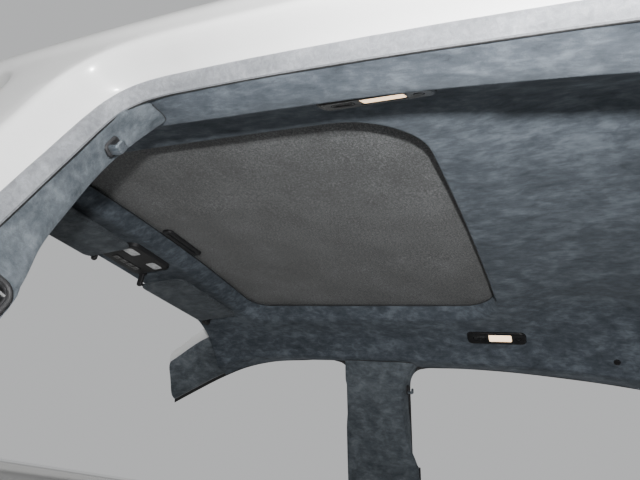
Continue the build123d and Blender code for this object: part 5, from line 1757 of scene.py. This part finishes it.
def mount(b, xa, xb, half, foot):
    """Block from the lining to the rod's end: round nose, tapered shank, flanged foot."""
    xm, hw = (xa + xb) / 2, (xb - xa) / 2
    zt = lining_z(xm, VISOR_Y)
    rows_ = []
    for z, gx, gy in ((VISOR_Z - 9.0, -2.6, -6.4), (VISOR_Z - 8.2, -1.2, -3.6), (VISOR_Z - 6.0, -0.3, -1.3), (VISOR_Z - 3.0, 0, -0.2), (VISOR_Z + 2.0, 0, 0),
                      (zt - 9.0, -0.4, -0.4), (zt - 6.4, 0.0, 0.2), (zt - 5.4, foot * 0.7, 3.2), (zt - 4.4, foot, 4.8), (zt - 1.0, foot, 5.0), (zt + 3.0, foot, 5.0)):
        r_ = min(4.0 if gy < 3 else 5.5, hw + gx - 0.1, half + gy - 0.1)
        rows_.append([(xm + u, VISOR_Y + v, z) for u, v in rr(hw + gx, half + gy, r_, 5, 2)])
    b.loft(rows_, closed=True, caps=True)


mount(vr, VISOR_X1 + 9, VISOR_X1 + 34, 10, 3)
mount(vr, VISOR_X0 - 16, VISOR_X0 - 5.5, 9, 2)
pair("visor_hanger", vr.bm(), ["edge_black"], "roof", "edge_black", "visor_rod", angle=45)

# ======================================================== sunshade grip
GZ = SHADE_Z + SHADE_CROWN
gp = local_frame((0, -771.0, GZ), (1, 0, 0), (0, 1, 0), (0, 0, 1))
gb = Build()
tray(gb, gp, 75, 15, 9.5, [(-1.5, 0.4), (0, -1.2), (0, -6.6), (-0.9, -8.3), (-2.4, -9.0), (-9.0, -9.0), (-10.2, -8.2), (-11.0, -6.0), (-11.4, -4.4)], cap_last=True, cap_first=True)
piece("shade_pull", gb.bm(), ["edge_black"], "sunshade", "edge_black", ["sunshade_grip"], angle=45)
hem = Build()
rows = []
for x in spread(-462, 462, 14):
    z0_ = shade_z(x, SHADE_Y0 + 8)
    rows.append([(x, SHADE_Y0 + 8.5 + 7.0 * math.cos(a), z0_ + 0.4 + 2.2 * math.sin(a)) for a in (math.tau * k / 12 for k in range(12))])
hem.loft(rows, closed=True, caps=True)
piece("shade_hem", hem.bm(), ["shade_cloth"], "sunshade", "shade_cloth")

# ============================================================ roof panel
rp = Build()


def roof_pt(x, y, drop=0.0):
    return Vector((x, y, roof_z(x, y) - drop))


Y_R = spread(-1036, 1147, 20)
e_l = [(DITCH(y) - 4.0, y) for y in Y_R]
front_e = [(x, -1036.0) for x in spread(-(DITCH(-1036) - 4), DITCH(-1036) - 4, 22)[1:-1]]
rear_e = [(x, 1147.0) for x in spread(-(DITCH(1147) - 4), DITCH(1147) - 4, 22)[1:-1]]
outer_loop = e_l + list(reversed(rear_e)) + [(-x, y) for x, y in reversed(e_l)] + front_e
hole = rounded_rect(GLASS_HX + 10, GLASS_Y0 - 10, GLASS_Y1 + 10, GLASS_R + 10, 14, 12)
grid = np.array([(x, y) for x in spread(-612, 612, 20) for y in spread(-1036, 1147, 20)])
ok_ = inside(outer_loop, grid) & ~near_loop(outer_loop, grid, 6) & ~inside(hole, grid) & ~near_loop(hole, grid, 6)
ids = rp.flat(outer_loop, [hole], [tuple(q) for q in grid[ok_]], lambda x, y: roof_pt(x, y))


def roof_ring(grow, drop):
    return [roof_pt(x, y, drop) for x, y in rounded_rect(GLASS_HX + 6 + grow, GLASS_Y0 - 6 - grow, GLASS_Y1 + 6 + grow, GLASS_R + 6 + grow, 14, 12)]


prev = ids[1]
base_loop = rounded_rect(GLASS_HX + 10, GLASS_Y0 - 10, GLASS_Y1 + 10, GLASS_R + 10, 14, 12)


def moved_in(loop, by, hx, y0, y1, r):
    out = []
    for x, y in loop:
        cx = min(max(x, -(hx - r)), hx - r)
        cy = min(max(y, y0 + r), y1 - r)
        d = Vector((x - cx, y - cy))
        L = d.length
        d = d * ((L - by) / L)
        out.append((cx + d.x, cy + d.y))
    return out


for by, drop in ((1.6, 0.15), (2.8, 0.8), (3.6, 2.0), (3.9, 4.0), (4.0, 8.5)):
    cur = rp.pts([roof_pt(x, y, drop) for x, y in moved_in(base_loop, by, GLASS_HX + 10, GLASS_Y0 - 10, GLASS_Y1 + 10, GLASS_R + 10)])
    rp.bridge(prev, cur, closed=True)
    prev = cur
prev = ids[0]
n_o = len(outer_loop)
for out_, drop in ((1.6, 0.5), (2.9, 1.7), (3.6, 3.4), (3.8, 5.2)):
    row = []
    for k, (x, y) in enumerate(outer_loop):
        a, b = outer_loop[k - 1], outer_loop[(k + 1) % n_o]
        t = Vector((b[0] - a[0], b[1] - a[1])).normalized()
        row.append(Vector((x + t.y * out_, y - t.x * out_, roof_z(x, y) - drop)))
    cur = rp.pts(row)
    rp.bridge(prev, cur, closed=True)
    prev = cur
bm_ = rp.bm()
bmesh.ops.recalc_face_normals(bm_, faces=bm_.faces)
if sum(f.normal.z * f.calc_area() for f in bm_.faces) < 0:
    bmesh.ops.reverse_faces(bm_, faces=bm_.faces)
piece("roof_skin", shell_bm(bm_, 0.9), ["body_paint"], "roof", "body_paint", ["roof_panel"], angle=50)

# sunroof glass: ground edge, printed band, tinted middle
gl = Build()
g_out = rounded_rect(GLASS_HX - 0.9, GLASS_Y0 + 0.9, GLASS_Y1 - 0.9, GLASS_R - 0.9, 12, 12)
g_band = rounded_rect(GLASS_HX - 66, GLASS_Y0 + 74, GLASS_Y1 - 74, 60, 12, 12)
grid = np.array([(x, y) for x in spread(-480, 480, 20) for y in spread(-862, 48, 20)])
in_band = ~inside(g_band, grid) & ~near_loop(g_band, grid, 5)
okb = inside(g_out, grid) & ~near_loop(g_out, grid, 5) & in_band
okm = inside(g_band, grid) & ~near_loop(g_band, grid, 5)
i1 = gl.flat(g_out, [g_band], [tuple(q) for q in grid[okb]], lambda x, y: roof_pt(x, y, 0.1), mat=1)
i2 = gl.flat(g_band, [], [tuple(q) for q in grid[okm]], lambda x, y: roof_pt(x, y, 0.1), mat=0)
prev = i1[0]
for by, drop in ((-0.6, 0.4), (-0.85, 1.2), (-0.85, 3.8), (-0.5, 4.7), (0.0, 5.0)):
    cur = gl.pts([roof_pt(x, y, drop) for x, y in moved_in(g_out, by, GLASS_HX - .9, GLASS_Y0 + .9, GLASS_Y1 - .9, GLASS_R - .9)])
    gl.bridge(prev, cur, closed=True, mat=1)
    prev = cur
low_out = prev
j1 = gl.flat(g_out, [g_band], [tuple(q) for q in grid[okb]], lambda x, y: roof_pt(x, y, 5.0), mat=1, flip=True)
j2 = gl.flat(g_band, [], [tuple(q) for q in grid[okm]], lambda x, y: roof_pt(x, y, 5.0), mat=0, flip=True)
bm_ = gl.bm()
weld(bm_, 0.01)
piece("glass_pane", bm_, ["tinted_glass", "glass_band"], "roof", "tinted_glass", ["sunroof_glass"], angle=50)

gk = Build()
gk_src = rounded_rect(GLASS_HX + 3.0, GLASS_Y0 - 3.0, GLASS_Y1 + 3.0, GLASS_R + 3.0, 14, 12)
sec = [(-2.2, 1.4), (-1.4, 0.7), (0.0, 0.55), (1.4, 0.8), (2.2, 1.6), (2.4, 4.5), (2.0, 8.6), (-2.0, 8.6), (-2.4, 4.5)]
rings = [gk.pts([roof_pt(x, y, d_) for x, y in moved_in(gk_src, -g_, GLASS_HX + 3, GLASS_Y0 - 3, GLASS_Y1 + 3, GLASS_R + 3)]) for g_, d_ in sec]
for k in range(len(rings)):
    gk.bridge(rings[k], rings[(k + 1) % len(rings)], closed=True)
piece("glass_gasket", gk.bm(), ["black_rubber"], "roof", "black_rubber", ["sunroof_gasket"], angle=40)

# ============================================================== headers
def header_piece(name, node, rows_, beads=()):
    sec = chaikin([(y, d_) for y, d_, _ in rows_], closed=True, times=2, keep_=0.2)
    hx_ = rows_[0][2]
    b = Build()
    rows2 = []
    for s_ in [k / 30 for k in range(-30, 31)]:
        x = hx_ * s_
        row = []
        for y, d_ in sec:
            yy = min(max(y, -1040.0), 1150.0)
            dd = d_
            for by_, depth, half in beads:
                if abs(y - by_) < 12 and d_ > 20:
                    ph = (abs(x) % 148.0) / 148.0
                    dd -= depth * math.exp(-((ph - 0.5) / 0.22) ** 4)
            row.append((x, y, roof_z(x * DITCH(yy) / 612.0, yy) - dd))
        rows2.append(row)
    b.loft(rows2, closed=True, caps=True)
    piece(name, b.bm(), ["inner_paint"], "roof", "inner_paint", [node], angle=35)


header_piece("header_front", "windscreen_header", [
    (-1062, 12, 594), (-1062, 16, 594), (-1042, 20, 594), (-1030, 52, 594), (-985, 47, 594), (-960, 36, 594), (-960, 8, 594), (-1038, 8, 594)], ((-1005, 3.0, 12),))
header_piece("header_rear", "rear_header", [
    (1062, 9, 566), (1060, 34, 566), (1090, 74, 566), (1140, 72, 566), (1172, 44, 566), (1186, 40, 566), (1186, 36, 566), (1144, 9, 566)], ((1115, 3.0, 12),))

# ======================================================= quarter windows
qg = Build()
q_out, q_in = qw_loop(-9.0), qw_loop(-30.0)
grid = np.array([(y, z) for y in spread(740, 1130, 16) for z in spread(66, 384, 16)])
okb = inside(q_out, grid) & ~near_loop(q_out, grid, 4) & ~inside(q_in, grid) & ~near_loop(q_in, grid, 4)
okm = inside(q_in, grid) & ~near_loop(q_in, grid, 4)


def q_pt(inset):
    return lambda y, z: Vector((outer_x(y, z) - inset, y, z))


i1 = qg.flat(q_out, [q_in], [tuple(q) for q in grid[okb]], q_pt(6.2), mat=1)
qg.flat(q_in, [], [tuple(q) for q in grid[okm]], q_pt(6.2), mat=0)
prev = i1[0]
for grow, inset in ((-8.7, 6.8), (-8.6, 8.6), (-8.7, 10.4)):
    cur = qg.pts([q_pt(inset)(y, z) for y, z in qw_loop(grow)])
    qg.bridge(prev, cur, closed=True, mat=1)
    prev = cur
j1 = qg.flat(q_out, [q_in], [tuple(q) for q in grid[okb]], q_pt(11.0), mat=1, flip=True)
qg.flat(q_in, [], [tuple(q) for q in grid[okm]], q_pt(11.0), mat=0, flip=True)
qg.bridge(prev, j1[0], closed=True, mat=1)
bm_ = qg.bm()
weld(bm_, 0.01)
bmesh.ops.recalc_face_normals(bm_, faces=bm_.faces)
piece("quarter_panes", merged(bm_, mirrored(bm_)), ["tinted_glass", "glass_band"], "roof", "tinted_glass", ["quarter_glasses"], angle=50, recalc=False)
qk = Build()
sec = [(-8.4, 5.6), (-7.4, 3.2), (-5.0, 1.9), (-2.6, 2.1), (-1.0, 3.4), (-0.5, 6.0), (-0.5, 15.4), (-3.5, 16.0), (-8.3, 15.8), (-8.5, 11.5)]
rings = [qk.pts([q_pt(inset)(y, z) for y, z in qw_loop(grow)]) for grow, inset in sec]
for k in range(len(rings)):
    qk.bridge(rings[k], rings[(k + 1) % len(rings)], closed=True)
bm_ = qk.bm()
bmesh.ops.recalc_face_normals(bm_, faces=bm_.faces)
piece("quarter_rubber", merged(bm_, mirrored(bm_)), ["black_rubber"], "roof", "black_rubber", ["quarter_gaskets"], angle=40, recalc=False)

# =================================================== ditches and antenna
dm = Build()
rows = []
prof_d = chaikin([(-7, 1.0), (-7, 2.4), (-4, 4.0), (3, 4.2), (8.5, 1.8), (9, -0.6), (0, 0.2)], closed=True, times=2)
for y in [-1038, -1032, -1024] + spread(-1010, 1130, 22) + [1140, 1146, 1149]:
    xd, zd, k = (c(y) for c in SCOL)
    end = min(1.0, (y + 1040) / 14.0, (1150.5 - y) / 10.0)
    rows.append([(xd + u * (0.55 + 0.45 * end), y, zd + v * (0.35 + 0.65 * end)) for u, v in prof_d])
dm.loft(rows, closed=True, caps=True)
bm_ = dm.bm()
bmesh.ops.recalc_face_normals(bm_, faces=bm_.faces)
piece("ditch_strips", merged(bm_, mirrored(bm_)), ["black_rubber"], "roof", "black_rubber", ["ditch_mouldings"], angle=40, recalc=False)

an = Build()
AF = [(958.0, 3.0, 2.0), (1000.0, 16.0, 18.0), (1030.0, 19.0, 34.0), (1062.0, 17.0, 48.0), (1074.0, 12.0, 50.0), (1082.0, 8.0, 42.0)]
AW, AH = Curve([q[0] for q in AF], [q[1] for q in AF]), Curve([q[0] for q in AF], [q[2] for q in AF])
rows = []
for y in spread(958, 1076, 5) + [1079, 1081, 1082]:
    hw, h = max(0.8, AW(y)), max(0.8, AH(y))
    z0_ = roof_z(0, y)
    row = []
    for k in range(25):
        t = k / 24
        a = math.pi * t
        u = math.cos(a)
        v = math.sin(a)
        # a wide foot that draws up into a thin blade
        w_ = hw * (0.16 + 0.84 * (1 - v) ** 1.6) * (1 if u >= 0 else -1) * min(1.0, abs(u) * 3.0)
        row.append((w_, y, z0_ - 1.0 + (h + 1.0) * v ** 0.9))
    rows.append(row)
ids = an.loft(rows)
for ring in (ids[0], ids[-1]):
    an.fan(ring)
piece("antenna_fin", an.bm(), ["gloss_black"], "roof", "gloss_black", ["roof_antenna"], angle=40)


# ------------------------------------------------------------------- floor
bpy.ops.mesh.primitive_plane_add(size=90, location=(0, 0, -0.0005))
floor = bpy.context.object
floor.name = "floor"
floor.data.materials.append(M["floor"])
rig.stage(floor)

lo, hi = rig.bounds()
json.dump({"cad": [list(cad_box[0]), list(cad_box[1])], "visual": [list(lo), list(hi)]}, open("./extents.json", "w"))
